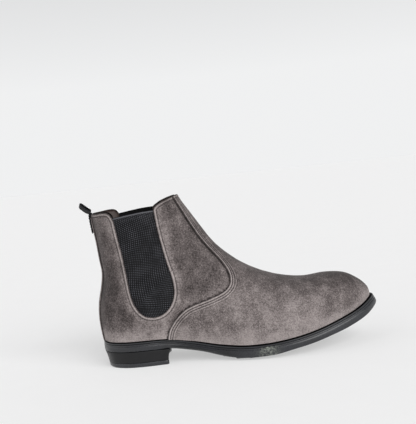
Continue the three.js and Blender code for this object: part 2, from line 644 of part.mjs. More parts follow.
function makeOutsole() {
  const xs = crowded(soleEdge.from, soleEdge.to, 40);
  const slab = loft(xs.map((x) => {
    const [a, b] = [valueAt(soleEdge.lateral, x), valueAt(soleEdge.medial, x)];
    const [top, bottom] = [WELT + GAP, SOLE_EDGE];
    return [solePoint(x, a, top), solePoint(x, b, top), solePoint(x, b, bottom), solePoint(x, a, bottom)];
  }));
  let sole = drilled(slab);
  for (let x = TREAD.from, row = 0; x <= TREAD.to; x += TREAD.pitch, row++) {
    const lateral = valueAt(soleEdge.lateral, x + TREAD.length / 2) + TREAD.inset;
    const medial = valueAt(soleEdge.medial, x + TREAD.length / 2) - TREAD.inset;
    const half = (medial - lateral) / 2;
    if (half < TREAD.width + 2) {
      sole = sole.add(makeLug(x, lateral, medial, TREAD.length));
      continue;
    }
    sole = sole.add(makeLug(x, lateral, lateral + TREAD.width, TREAD.length, 1.2));
    sole = sole.add(makeLug(x, medial - TREAD.width, medial, TREAD.length, -1.2));
    const middle = (lateral + medial) / 2;
    const room = half - TREAD.width - 4;
    if (room < 4) continue;
    // Two crossed bars make each cleat.
    const shift = row % 2 ? room * 0.2 : -room * 0.2;
    sole = sole.add(makeLug(x, middle + shift - room * 0.7, middle + shift + room * 0.7, 3.6));
    sole = sole.add(makeLug(x, middle + shift - 1.8, middle + shift + 1.8, TREAD.length));
  }
  return sole.subtract(underGround);
}

// A heel layer between two heights. The heel narrows from the outsole down to the ground.
const HEEL_TAPER = { back: 3.8, sides: 0.94, breast: 2.4 };
const HEEL_TOP = featherHeight(30) - SOLE_EDGE;
function heelPoint(x, y, z) {
  const down = 1 - z / HEEL_TOP; // 0 at the outsole, 1 on the ground
  const share = (x - soleEdge.from) / (HEEL_BREAST - soleEdge.from);
  const taper = lerp(HEEL_TAPER.back, -HEEL_TAPER.breast, share);
  return new THREE.Vector3(x + taper * down, y * lerp(1, HEEL_TAPER.sides, down), z);
}
function makeHeelLayer(topOf, bottom) {
  const xs = crowded(soleEdge.from, HEEL_BREAST, 26);
  return loft(xs.map((x) => {
    const [a, b] = [valueAt(soleEdge.lateral, x), valueAt(soleEdge.medial, x)];
    const top = topOf(x);
    return [heelPoint(x, a, top), heelPoint(x, b, top), heelPoint(x, b, bottom), heelPoint(x, a, bottom)];
  }));
}

// The footbed covers the whole inside, and the foam pad lies in a recess under its heel.
const padRecess = plate(-14.7, -4.6 - GAP, -3, HEEL_BACK + 14.7, 70.3);
const footbed = plate(-6.4, -5.8, -3.4).subtract(padRecess);
const filler = drilled(plate(WELT_INSIDE - GAP, 0, WELT)).subtract(makeShank(GAP));
const heelBlock = drilled(makeHeelLayer((x) => featherHeight(x) - SOLE_EDGE - 2 * GAP, TOP_LIFT + GAP));

boot.add(mesh("footbed", footbed, looks.footbed));
boot.add(mesh("heel_pad", plate(-15, -4.6, -3.4, HEEL_BACK + 15, 70, 14), looks.foam));
boot.add(mesh("insole_board", drilled(plate(-6.4, -3.1, -GAP)), looks.board));
boot.add(mesh("bottom_filler", filler, looks.cork));
boot.add(mesh("shank", makeShank(), looks.steel));
boot.add(mesh("welt", makeWelt(), looks.welt));
boot.add(mesh("outsole", makeOutsole(), looks.rubber));
boot.add(mesh("heel_block", heelBlock, looks.heel));
boot.add(mesh("top_lift", makeHeelLayer(() => TOP_LIFT, 0), looks.rubber));
NAILS.forEach((at, i) => boot.add(mesh(`heel_nail_${i + 1}`, makeFixing(NAIL, at), looks.steel)));
boot.add(mesh("heel_screw", makeFixing(SCREW, SCREW_AT), looks.steel));

// ---- Pull tab ----

// The webbing is doubled: its leg is sewn down the back, and its loop bends where it leaves the leg.
const WEBBING = 1.3;
const LEG_TOP = 166;
const tabPivot = new THREE.Vector2(backX(LEG_TOP) + DEPTH.backStrip - GAP - WEBBING, LEG_TOP + 2.6);

function makeTabLeg() {
  const blank = sheet({
    from: CORNER + 1, fromColumn: 7, overBack: true,
    outer: () => DEPTH.backStrip - GAP - 2 * WEBBING, inner: () => DEPTH.backStrip - GAP,
  });
  const room = new THREE.BoxGeometry(40, TAB_WIDTH, TAB_LEG).translate(0, 0, LEG_TOP - TAB_LEG / 2);
  return blank.intersect(solidOf(room));
}

// Half the distance between the loop's two runs of webbing, measured to their middles, by height.
const LOOP_SHAPE = [[0, 0.9], [3, 1.7], [6, 2.4], [9.5, 2.3], [TAB_LOOP - 2, 1.4]];

function makeTabLoop() {
  // Round the loop once, seen from the side, standing straight up on its pivot before it is leaned.
  const front = LOOP_SHAPE.map(([z, x]) => new THREE.Vector3(x, 0, z));
  const back = LOOP_SHAPE.map(([z, x]) => new THREE.Vector3(-x, 0, z)).reverse();
  const tip = new THREE.Vector3(0, 0, TAB_LOOP);
  const path = new THREE.CatmullRomCurve3([...front, tip, ...back], true, "centripetal");
  const STEPS = 26;
  const rings = [];
  for (let i = 0; i < STEPS; i++) {
    const p = path.getPointAt(i / STEPS);
    const along = path.getTangentAt(i / STEPS);
    const at = (offset, y) => new THREE.Vector3(p.x + along.z * offset, y, p.z - along.x * offset);
    const [h, w] = [WEBBING / 2, TAB_WIDTH / 2];
    rings.push([at(h, -w), at(h, w), at(-h, w), at(-h, -w)]);
  }
  return loop(rings);
}

boot.add(mesh("pull_tab_leg", makeTabLeg(), looks.webbing));
tab.add(mesh("pull_tab_loop", makeTabLoop(), looks.webbing));
tab.position.set(tabPivot.x, 0, tabPivot.y);
tab.rotation.y = THREE.MathUtils.degToRad(-TAB_LEAN);

// ---- The boot's own frame: centred over its footprint, with the ground at z = 0 ----

boot.updateMatrixWorld(true);
const box = new THREE.Box3().setFromObject(boot, true);
boot.position.set(-(box.min.x + box.max.x) / 2, -(box.min.y + box.max.y) / 2, -box.min.z);

export default boot;
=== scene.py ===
"""The look of a right-foot suede chelsea boot, built round its CAD frame.

Lengths in this script are millimetres in the boot's own making frame: x runs from the back of the heel
to the toe, y = 0 is the heel's centre line with the lateral side at -y, and z is up from the ground.
place() turns them into metres in the row frame.

The upper's pieces lie on one surface, the last. A point of it has a station s, from 0 at the toe's tip
through the instep to 18 at the top of the shaft, and a tau, from -1 at the lateral base through 0 at the
crest to 1 at the medial base. Panels are cut in a flat pattern of that surface and laid back on it.
"""
import json
import math

import bpy
import numpy as np
from mathutils import Matrix, Vector
from mathutils.geometry import delaunay_2d_cdt
from mathutils.kdtree import KDTree

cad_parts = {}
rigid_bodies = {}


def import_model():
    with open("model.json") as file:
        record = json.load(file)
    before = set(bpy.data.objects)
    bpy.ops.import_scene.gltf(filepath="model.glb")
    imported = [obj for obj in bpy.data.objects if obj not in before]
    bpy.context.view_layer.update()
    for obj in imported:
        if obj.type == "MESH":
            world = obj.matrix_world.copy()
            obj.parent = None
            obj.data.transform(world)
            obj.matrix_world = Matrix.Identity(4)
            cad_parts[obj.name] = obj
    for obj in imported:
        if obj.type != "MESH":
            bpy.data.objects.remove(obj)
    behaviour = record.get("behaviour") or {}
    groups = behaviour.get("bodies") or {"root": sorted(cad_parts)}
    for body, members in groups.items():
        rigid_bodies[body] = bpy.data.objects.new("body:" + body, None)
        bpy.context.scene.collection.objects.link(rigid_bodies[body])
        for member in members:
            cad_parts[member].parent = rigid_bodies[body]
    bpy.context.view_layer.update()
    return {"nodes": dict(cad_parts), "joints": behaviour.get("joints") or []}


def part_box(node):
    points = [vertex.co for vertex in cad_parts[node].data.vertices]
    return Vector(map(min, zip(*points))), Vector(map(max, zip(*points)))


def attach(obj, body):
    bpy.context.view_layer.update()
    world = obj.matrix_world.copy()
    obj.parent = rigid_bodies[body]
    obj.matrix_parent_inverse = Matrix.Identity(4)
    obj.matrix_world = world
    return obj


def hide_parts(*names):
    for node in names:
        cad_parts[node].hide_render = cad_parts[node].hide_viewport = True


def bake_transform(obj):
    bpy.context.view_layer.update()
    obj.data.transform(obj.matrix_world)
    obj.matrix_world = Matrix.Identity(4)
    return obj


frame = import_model()

MM = 0.001
BODY = frame["joints"][0]["parent"]

# ---------------------------------------------------------------- sizes of the boot, in millimetres

UPPER = 1.5       # thickness of the suede
ELASTIC_THICK = 1.3
LINING = 1.0      # thickness of the lining
WELT = 2.8        # thickness of the welt
SOLE_EDGE = 10.8  # welt and outsole together
LUG = 5.1         # depth of the tread
TOP_LIFT = 5.0    # thickness of the heel's top lift
HEEL_BREAST = 74.0
HEEL_BACK, TOE_TIP = 2.5, 297.5
SOLE_BACK = 1.5   # where the sole's edge ends behind the heel

FOOTPRINT = [
    (HEEL_BACK, 0), (5, -11), (12, -22), (26, -29.5), (45, -32), (72, -30.5), (102, -30.5), (132, -37),
    (160, -44.5), (186, -48), (210, -47), (234, -42), (258, -32.5), (278, -21), (290.5, -9), (TOE_TIP, 4),
    (292, 17), (281, 27), (262, 35), (240, 41.5), (216, 45), (194, 44.5), (170, 40), (146, 33),
    (122, 26.5), (98, 25), (72, 28), (45, 31), (26, 29), (12, 22), (5, 11),
]
FEATHER_HEIGHT = [
    (-10, 28.8), (20, 28.6), (50, 28.5), (76, 27.4), (102, 22.9), (127, 18.2), (152, 15.8), (176, 16.4),
    (202, 19.1), (228, 23.6), (254, 30.2), (276, 36.9), (290, 42.6), (298, 46.3), (310, 52.1),
]
BACK_CURVE = [
    (2.5, 28.8), (0.9, 42), (0.5, 55), (2.1, 70), (6.4, 87), (8.7, 102), (7.4, 118), (6, 136), (3.6, 159),
    (2.4, 176),
]
# Stations of the last: crest x and z, base (x on the feather line, or height on the back curve), bulge
# of the lateral and medial side beyond the footprint, place of the widest point, and y of the crest.
CORNER = 13  # the station whose base is the corner between the feather line and the back curve
STATIONS = np.array([
    (TOE_TIP, 46.1, TOE_TIP, 1, 1, 0.6, 4), (296.7, 52.6, 294.8, 1.5, 1.5, 0.6, 4),
    (293.6, 57.8, 289.4, 2, 2, 0.62, 4), (285.8, 65, 280.2, 2.2, 2.2, 0.65, 4),
    (272, 72.4, 265, 2.4, 2.4, 0.68, 4),
    (252, 74.6, 243, 2.5, 2.5, 0.7, 4), (228, 72.9, 217, 2.5, 2.5, 0.72, 4),
    (204, 76.6, 190, 2.5, 2.5, 0.73, 4), (181, 84.6, 160, 3, 3.5, 0.73, 4),
    (161, 95.6, 128, 4, 6, 0.72, 3.5), (146, 107.4, 95, 5.5, 8, 0.7, 3), (136, 117.2, 62, 6, 7, 0.68, 2),
    (129, 126, 30, 4.5, 5, 0.64, 1), (124, 133.6, HEEL_BACK, 3.5, 4, 0.58, 0.5),
    (118.5, 142.6, 48, 2.5, 3, 0.52, 0), (112.2, 153, 75, 1.5, 2, 0.5, 0),
    (106.6, 162.2, 105, 1, 1.5, 0.5, 0),
    (101.6, 170.4, 137, 1.5, 2, 0.5, 0), (95, 183.5, 173, 2.5, 3, 0.5, 0),
], float)
TOP = len(STATIONS) - 1

# Outlines of the panels, seen from the side.
VAMP_SEAM = [
    (91.5, 181), (95.7, 173.1), (103.6, 157.5), (111.6, 141.8), (118.6, 129.5), (126.5, 118.2),
    (136, 106.5), (143.4, 95.5), (146.3, 86.5), (145, 78.5), (138.5, 72.6), (129, 68.8), (119, 65.6),
    (108, 62.4), (97.5, 58.6), (88.5, 52.2), (81.5, 44.5), (76.5, 36), (73.5, 24),
]
GORE_EDGE = [
    (28.5, 170), (29.7, 161.2), (32, 141.8), (35.3, 119.6), (37.6, 97.5), (39.8, 79), (43.4, 66.4),
    (51, 56.4), (61.2, 53), (72, 55.2), (81.2, 63.4), (86.2, 76), (85.8, 91.1), (81.4, 109.7),
    (76.7, 135.8), (74.4, 155), (73.2, 172),
]
GORE_TOP = [(20, 160.2), (29.7, 161.4), (45, 163.4), (60, 165), (73.5, 165.6), (85, 165.6)]
REAR_TOP = [(-14, 166.4), (7, 166.6), (19, 167.6), (24.5, 166.6), (27.6, 163.4), (31, 156)]
FRONT_TOP = [(72.6, 157), (73.6, 165.6), (76.5, 169.6), (82, 172.8), (90, 175.8), (98, 178.2), (112, 181)]

# ---------------------------------------------------------------- curves


def cubic(p1, p2, m1, m2, t):
    """The cubic from p1 to p2 with slopes m1 and m2."""
    return (2 * p1 - 2 * p2 + m1 + m2) * t**3 + (3 * p2 - 3 * p1 - 2 * m1 - m2) * t**2 + m1 * t + p1


def catmull(points, count, power=0.0):
    """A Catmull-Rom curve through points. power 0 is the uniform one and 0.5 the centripetal one."""
    p = np.array(points, float)
    last = len(p) - 1
    made = []
    for i in range(last):
        p0, p1, p2, p3 = (p[min(max(i + k, 0), last)] for k in (-1, 0, 1, 2))
        d = [max(np.linalg.norm(b - a) ** power, 1e-6) for a, b in ((p0, p1), (p1, p2), (p2, p3))]
        m1 = (p1 - p0) / d[0] - (p2 - p0) / (d[0] + d[1]) + (p2 - p1) / d[1]
        m2 = (p2 - p1) / d[1] - (p3 - p1) / (d[1] + d[2]) + (p3 - p2) / d[2]
        m1, m2 = m1 * d[1], m2 * d[1]
        if np.allclose(p0, p1):
            m1 = m1 / 2
        if np.allclose(p2, p3):
            m2 = m2 / 2
        t = np.linspace(0, 1, count, endpoint=False)[:, None]
        made.append(cubic(p1, p2, m1, m2, t))
    return np.concatenate([*made, p[-1:]])


def along_of(points):
    """Distance along a line of points, from its first."""
    return np.concatenate([[0], np.cumsum(np.linalg.norm(np.diff(points, axis=0), axis=1))])


def at_lengths(at, length, values):
    """Rows of values, given at the lengths of a line, read off at other lengths of it."""
    return np.stack([np.interp(at, length, column) for column in values.T], 1)


def resample(points, step):
    """The same line with points evenly spaced, about a step apart."""
    length = along_of(points)
    count = max(int(round(length[-1] / step)), 1)
    return at_lengths(np.linspace(0, length[-1], count + 1), length, points)


def smoothstep(x, low, high):
    t = np.clip((np.asarray(x, float) - low) / (high - low), 0, 1)
    return t * t * (3 - 2 * t)


def unit(v):
    return v / np.maximum(np.linalg.norm(v, axis=-1, keepdims=True), 1e-12)


feather_line = catmull(FEATHER_HEIGHT, 40)
back_line = catmull(BACK_CURVE, 40)


def feather_height(x):
    return np.interp(x, feather_line[:, 0], feather_line[:, 1])


def back_x(z):
    return np.interp(z, back_line[:, 1], back_line[:, 0])


class Footprint:
    """The closed outline on which the upper meets the bottom, as a lateral and a medial half."""

    def __init__(self):
        loop = resample(catmull(FOOTPRINT + FOOTPRINT[:1], 60, power=0.5), 0.25)[:-1]
        tangent = unit(np.roll(loop, -1, 0) - np.roll(loop, 1, 0))
        normal = np.stack([tangent[:, 1], -tangent[:, 0]], 1)
        heel, toe = loop[:, 0].argmin(), loop[:, 0].argmax()
        self.halves = {}
        for side, step in ((-1, 1), (1, -1)):
            order = (heel + step * np.arange((step * (toe - heel)) % len(loop) + 1)) % len(loop)
            self.halves[side] = (loop[order], normal[order])

    def y(self, x, side):
        points = self.halves[side][0]
        return np.interp(x, points[:, 0], points[:, 1])

    def half(self, side, count):
        """count + 1 points and outward normals from heel to toe, closer together at both ends."""
        points, normals = self.halves[side]
        length = along_of(points)
        t = np.linspace(0, 1, count + 1)
        at = length[-1] * (t - END_CROWDING * np.sin(2 * math.pi * t) / (2 * math.pi))
        return at_lengths(at, length, points), unit(at_lengths(at, length, normals))


END_CROWDING = 0.48  # how much closer together the half's points are at its ends
footprint = Footprint()


def welt_margin(x):
    return 1 + 3.2 * smoothstep(x, 60, 150)


# ---------------------------------------------------------------- the last


def station_value(column, s):
    """Smooth interpolation through one column of the stations."""
    values = STATIONS[:, column]
    i = np.clip(np.floor(s).astype(int), 0, TOP - 1)
    t = s - i
    p0, p1, p2, p3 = (values[np.clip(i + k, 0, TOP)] for k in (-1, 0, 1, 2))
    return cubic(p1, p2, (p2 - p0) / 2, (p3 - p1) / 2, t)


def base_of(s):
    """x and z of the base of section s."""
    start = STATIONS[CORNER - 1, 2]
    ahead = station_value(2, np.minimum(s, CORNER - 1))
    turning = start - (start - HEEL_BACK) * np.sin(np.clip(s - (CORNER - 1), 0, 1) * math.pi / 2)
    x = np.clip(np.where(s <= CORNER - 1, ahead, turning), HEEL_BACK, TOE_TIP)
    heights = np.concatenate([[feather_height(HEEL_BACK)], STATIONS[CORNER + 1:, 2]])
    z = np.interp(s - CORNER, np.arange(len(heights)), heights)
    return np.where(s > CORNER, back_x(z), x), np.where(s > CORNER, z, feather_height(x))


def girth(s, x, z, side):
    """How far the last stands out at a point of section s, before its bulge."""
    straight = x + (np.minimum(x, 45) - x) * smoothstep(s, 10, 14)
    lean = (back_x(z) - HEEL_BACK) * (1 - smoothstep(x, 60, 110))
    inside = np.clip(straight - lean, HEEL_BACK, TOE_TIP)
    return np.where(side < 0, footprint.y(inside, -1), footprint.y(inside, 1))


def section_shape(s, side):
    """Everything that shapes one side of section s."""
    cx, cz = station_value(0, s), station_value(1, s)
    bx, bz = base_of(s)
    waist = station_value(5, s)
    bulge = side * np.where(side < 0, station_value(3, s), station_value(4, s))
    ridge = station_value(6, s)
    wx, wz = cx + (bx - cx) * waist, cz + (bz - cz) * waist
    wide, foot = girth(s, wx, wz, side) + bulge, girth(s, bx, bz, side)
    height = np.hypot(bx - cx, bz - cz)
    upper = np.hypot(wide - ridge, waist * height)
    lower = np.hypot(wide - foot, (1 - waist) * height)
    split = upper / (upper + lower + 1e-9)
    return cx, cz, bx, bz, waist, bulge, ridge, split, smoothstep(s, CORNER - 1, CORNER)


def last_point(s, tau):
    s, tau = np.broadcast_arrays(np.asarray(s, float), np.asarray(tau, float))
    side = np.where(tau < 0, -1, 1)
    cx, cz, bx, bz, waist, bulge, ridge, split, closing = section_shape(s, side)
    t = np.minimum(np.abs(tau), 1)
    over = t <= split
    angle = np.where(over, t / split, (t - split) / (1 - split)) * (math.pi / 2)
    down = angle / (math.pi / 2)
    along = np.where(over, waist * (1 - np.cos(angle)),
                     waist + (1 - waist) * (down + (np.sin(angle) - down) * closing))
    x, z = cx + (bx - cx) * along, cz + (bz - cz) * along
    out = girth(s, x, z, side)
    y = np.where(over, ridge + (out + bulge - ridge) * np.sin(angle), out + bulge * np.cos(angle))
    return np.stack([x, y, z], -1)


def last_normal(s, tau):
    s, tau = np.broadcast_arrays(np.asarray(s, float), np.asarray(tau, float))
    step = 0.03
    held = np.clip(s, 0.25, TOP - step)
    side = np.where(tau < 0, -1, 1)
    t = np.clip(np.abs(tau), step, 1 - step)
    along_s = last_point(held + step, side * t) - last_point(held - step, side * t)
    along_t = last_point(held, side * (t + step)) - last_point(held, side * (t - step))
    normal = np.cross(along_s, along_t) * -side[..., None]
    ends = np.where(s >= CORNER, np.minimum((1 - np.abs(tau)) / step, 1), 1)
    fade = np.minimum(np.abs(tau) / step, 1) * ends
    normal[..., 1] = normal[..., 1] * np.clip(fade, 0, 1)
    return unit(normal)


def locate(xz, side):
    """Station and tau of points of one side that are given as seen from the side."""
    px, pz = np.asarray(xz, float).T
    low, high = np.full(len(px), 1e-3), np.full(len(px), float(TOP))
    for _ in range(40):
        s = (low + high) / 2
        cx, cz = station_value(0, s), station_value(1, s)
        bx, bz = base_of(s)
        behind = (bx - cx) * (pz - cz) - (bz - cz) * (px - cx) > 0
        low, high = np.where(behind, low, s), np.where(behind, s, high)
    sides = np.full(len(px), side)
    cx, cz, bx, bz, waist, _, _, split, closing = section_shape(s, sides)
    length = (bx - cx) ** 2 + (bz - cz) ** 2
    along = np.clip(((px - cx) * (bx - cx) + (pz - cz) * (bz - cz)) / length, 0, 1)
    upper = np.arccos(np.clip(1 - along / waist, -1, 1)) / (math.pi / 2) * split
    want = np.clip((along - waist) / (1 - waist), 0, 1)
    a, b = np.zeros(len(px)), np.full(len(px), math.pi / 2)
    for _ in range(30):
        m = (a + b) / 2
        down = m / (math.pi / 2)
        less = down + (np.sin(m) - down) * closing < want
        a, b = np.where(less, m, a), np.where(less, b, m)
    lower = split + (1 - split) * a / (math.pi / 2)
    return np.stack([s, side * np.where(along <= waist, upper, lower)], 1)


class Pattern:
    """The flat pattern of the last: u runs along it and v across it, both nearly true lengths."""

    def __init__(self):
        self.s = np.linspace(0, TOP, 361)
        taus = np.linspace(0, 1, 41)
        self.width = {}
        for side in (-1, 1):
            grid = last_point(self.s[:, None], side * taus[None, :] + side * 1e-9)
            self.width[side] = np.linalg.norm(np.diff(grid, axis=1), axis=2).sum(1) + 1e-4
        middle = last_point(self.s, -0.5)
        self.u = along_of(middle) + np.arange(len(middle)) * 1e-6

    def width_at(self, s, across):
        lateral, medial = (np.interp(s, self.s, self.width[side]) for side in (-1, 1))
        return np.where(across < 0, lateral, medial)

    def flat(self, st):
        s, tau = st[:, 0], st[:, 1]
        return np.stack([np.interp(s, self.s, self.u), tau * self.width_at(s, tau)], 1)

    def station(self, uv):
        s = np.interp(uv[:, 0], self.u, self.s)
        return s, np.clip(uv[:, 1] / self.width_at(s, uv[:, 1]), -1, 1)

    def point(self, uv):
        return last_point(*self.station(uv))

    def normal(self, uv):
        return last_normal(*self.station(uv))

    def inward(self, uv):
        """Unit vectors on the surface, square to a line of the pattern and to its left."""
        tangent = unit(np.gradient(self.point(uv), axis=0))
        return unit(np.cross(tangent, self.normal(uv)))

    def shifted(self, uv, distance):
        """A line of the pattern moved to its left by a true distance."""
        aim = self.inward(uv) * distance
        h = 0.05
        a = (self.point(uv + [h, 0]) - self.point(uv - [h, 0])) / (2 * h)
        b = (self.point(uv + [0, h]) - self.point(uv - [0, h])) / (2 * h)
        aa, ab, bb = (a * a).sum(1), (a * b).sum(1), (b * b).sum(1)
        ra, rb = (a * aim).sum(1), (b * aim).sum(1)
        det = np.maximum(aa * bb - ab * ab, 1e-3)
        return uv + np.stack([(bb * ra - ab * rb) / det, (aa * rb - ab * ra) / det], 1)


pattern = Pattern()

# ---------------------------------------------------------------- meshes

SCREW_X = 38  # the heel screw stands here on the heel's centre line
screw_low, screw_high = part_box("heel_screw")
SHIFT = np.array([(screw_low.x + screw_high.x) / 2 / MM - SCREW_X, (screw_low.y + screw_high.y) / 2 / MM, 0])


def place(points):
    """From the making frame, in millimetres, to the row frame, in metres."""
    return (np.asarray(points, float) + SHIFT) * MM


def add_piece(name, points, faces, material, slot, replaces=(), body=BODY, **attributes):
    """A mesh piece, with one value or vector for each point in every attribute."""
    mesh = bpy.data.meshes.new(name)
    mesh.from_pydata(place(points).tolist(), [], [list(map(int, f)) for f in faces])
    for key, values in attributes.items():
        values = np.asarray(values, np.float32)
        kind = "FLOAT" if values.ndim == 1 else "FLOAT_VECTOR"
        data = mesh.attributes.new(key, kind, "POINT").data
        data.foreach_set("value" if values.ndim == 1 else "vector", values.ravel())
    mesh.validate()
    mesh.polygons.foreach_set("use_smooth", [True] * len(mesh.polygons))
    mesh.materials.append(material)
    piece = bpy.data.objects.new(name, mesh)
    bpy.context.scene.collection.objects.link(piece)
    if body:
        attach(piece, body)
    if replaces:
        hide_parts(*replaces)
    return piece


def tube_faces(rows, columns, closed_rows=False, closed_columns=True):
    """Quads between rows of points; the points of a row follow each other."""
    faces = []
    for i in range(rows if closed_rows else rows - 1):
        a, b = i * columns, (i + 1) % rows * columns
        for j in range(columns if closed_columns else columns - 1):
            k = (j + 1) % columns
            faces.append((a + j, a + k, b + k, b + j))
    return faces


def nearest(points, targets):
    """Distance from each point to the closest of the targets."""
    tree = KDTree(len(targets))
    for i, t in enumerate(targets):
        tree.insert(t, i)
    tree.balance()
    return np.array([tree.find(p)[2] for p in points])


def inside(points, loop):
    """Which flat points lie inside a closed flat outline."""
    result = np.zeros(len(points), bool)
    x, y = points[:, 0], points[:, 1]
    a, b = loop, np.roll(loop, -1, 0)
    for (x0, y0), (x1, y1) in zip(a, b):
        if y0 == y1:
            continue
        crosses = (y0 > y) != (y1 > y)
        result ^= crosses & (x < x0 + (y - y0) * (x1 - x0) / (y1 - y0))
    return result


def spaced(points, kept, gap):
    """The flat points at least a gap from the kept ones and from each other, first come first kept."""
    cells = {}
    key = lambda p: (int(p[0] // gap), int(p[1] // gap))
    for p in kept:
        cells.setdefault(key(p), []).append(p)
    chosen = []
    for p in points:
        i, j = key(p)
        near = (q for di in (-1, 0, 1) for dj in (-1, 0, 1) for q in cells.get((i + di, j + dj), ()))
        if all((p[0] - q[0]) ** 2 + (p[1] - q[1]) ** 2 >= gap * gap for q in near):
            cells.setdefault((i, j), []).append(p)
            chosen.append(p)
    return np.array(chosen).reshape(-1, 2)


# ---------------------------------------------------------------- panels


class Edge:
    """A worked edge's profile: a rolled bead, stitching in grooves, and a ridge past the last row."""

    # light is how pale the bead is: partly rubbed nap, partly painted highlight.
    def __init__(self, rows, bead, ridge=0.0, at=0.85, wide=0.65, light=1.6):
        self.rows, self.bead, self.ridge = rows, bead, ridge
        self.at, self.wide, self.light = at, wide, light

    def hump(self, d, centre, width):
        return np.exp(-(((d - centre) / width) ** 2))

    def height(self, d):
        h = self.bead * self.hump(d, self.at, self.wide) - 0.3 * self.hump(d, 0, 0.4)
        for row in self.rows:
            h = h - GROOVE * self.hump(d, row, 0.42)
        if self.ridge:
            last = self.rows[-1]
            h = h + self.ridge * self.hump(d, last + 1.25, 0.55)
            h = h - self.ridge * 0.7 * self.hump(d, last + 2.2, 0.4)
        return h

    def shade(self, d):
        # Painted light and shade: the bead and the ridges paler, partly rubbed nap and partly painted
        # highlight; painted shade in the stitching grooves, a painted shadow line at the cut edge and a
        # painted dark line past the last ridge.
        c = self.light * self.hump(d, self.at, self.wide) - 1.8 * self.hump(d, 0, 0.4)
        for row in self.rows:
            c = c - 1.8 * self.hump(d, row, 0.45)
        if self.ridge:
            last = self.rows[-1]
            c = c + 0.9 * self.hump(d, (self.rows[0] + last) / 2, 0.5)
            c = c + 1.2 * self.hump(d, last + 1.2, 0.6)
            c = c - 0.8 * self.hump(d, last + 2.1, 0.4)
        return c


GROOVE = 0.26  # how deep the stitching pulls the suede in
SEAM_EDGE = Edge(rows=(2.3, 4.8), bead=0.32, ridge=0.28, at=0.95, wide=0.75)
BEAD_EDGE = Edge(rows=(2.9,), bead=0.36, at=1.2, wide=0.95, light=0.95)
HEM_EDGE = Edge(rows=(), bead=0.25, at=0.9)
STRIP_EDGE = Edge(rows=(1.9,), bead=0.22, at=0.7)
ROW_GAPS = (0.4, 0.85, 1.35, 1.9, 2.45, 3.0, 3.55, 4.1, 4.7, 5.35, 6.1, 6.8, 7.6)


def seen_from_side(line, side):
    """A line given as seen from the side, on the flat pattern."""
    return pattern.flat(locate(line, side))


def chained(runs):
    """One closed outline of runs of points that follow each other."""
    return np.concatenate([run[:-1] if np.allclose(run[-1], after[0], atol=1e-3) else run
                           for run, after in zip(runs, runs[1:] + runs[:1])])


ROW_RATIO = 0.87  # height of an even triangle over its side
# A sheet's inner face and its cut edge get painted shade.
INNER_SHADE, RIM_SHADE = -0.3, -0.55  # tone of a sheet's inner face and of its cut edge
CDT_INSIDE = 1    # delaunay_2d_cdt keeps the triangles inside the outline


def flat_mesh(outline, worked, spacing, rows):
    """Triangles that fill an outline: rows of points along its worked edges, an even field elsewhere."""
    edges = np.concatenate([pattern.point(run) for run, _ in worked]) if worked else np.zeros((0, 3))
    kept, extra = outline, np.zeros((0, 2))
    for row in rows if worked else ():
        moved = np.concatenate([pattern.shifted(run, row) for run, _ in worked])
        true = nearest(pattern.point(moved), edges)
        moved = moved[(np.abs(true - row) < 0.12 + 0.05 * row) & inside(moved, outline)]
        extra = np.concatenate([extra, spaced(moved, np.concatenate([kept, extra]), 0.36)])
    low, high = outline.min(0), outline.max(0)
    us = np.arange(low[0], high[0], spacing * ROW_RATIO)
    vs = np.arange(low[1], high[1], spacing)
    grid = np.array([(u, v + (i % 2) * spacing / 2) for i, u in enumerate(us) for v in vs])
    grid = grid[inside(grid, outline)]
    grid = spaced(grid, np.concatenate([outline, extra]), spacing * 0.62)
    points = np.concatenate([outline, extra, grid])
    n = len(outline)
    ring = [(i, (i + 1) % n) for i in range(n)]
    made = delaunay_2d_cdt([Vector(p) for p in points], ring, [], CDT_INSIDE, 1e-5)
    uv = np.array([tuple(p) for p in made[0]])
    faces = np.array([tuple(f) for f in made[2]])
    source = [origin[0] if origin else -1 for origin in made[3]]
    ring_at = {s: i for i, s in enumerate(source) if 0 <= s < n}
    return uv, faces, [ring_at[i] for i in range(n)]


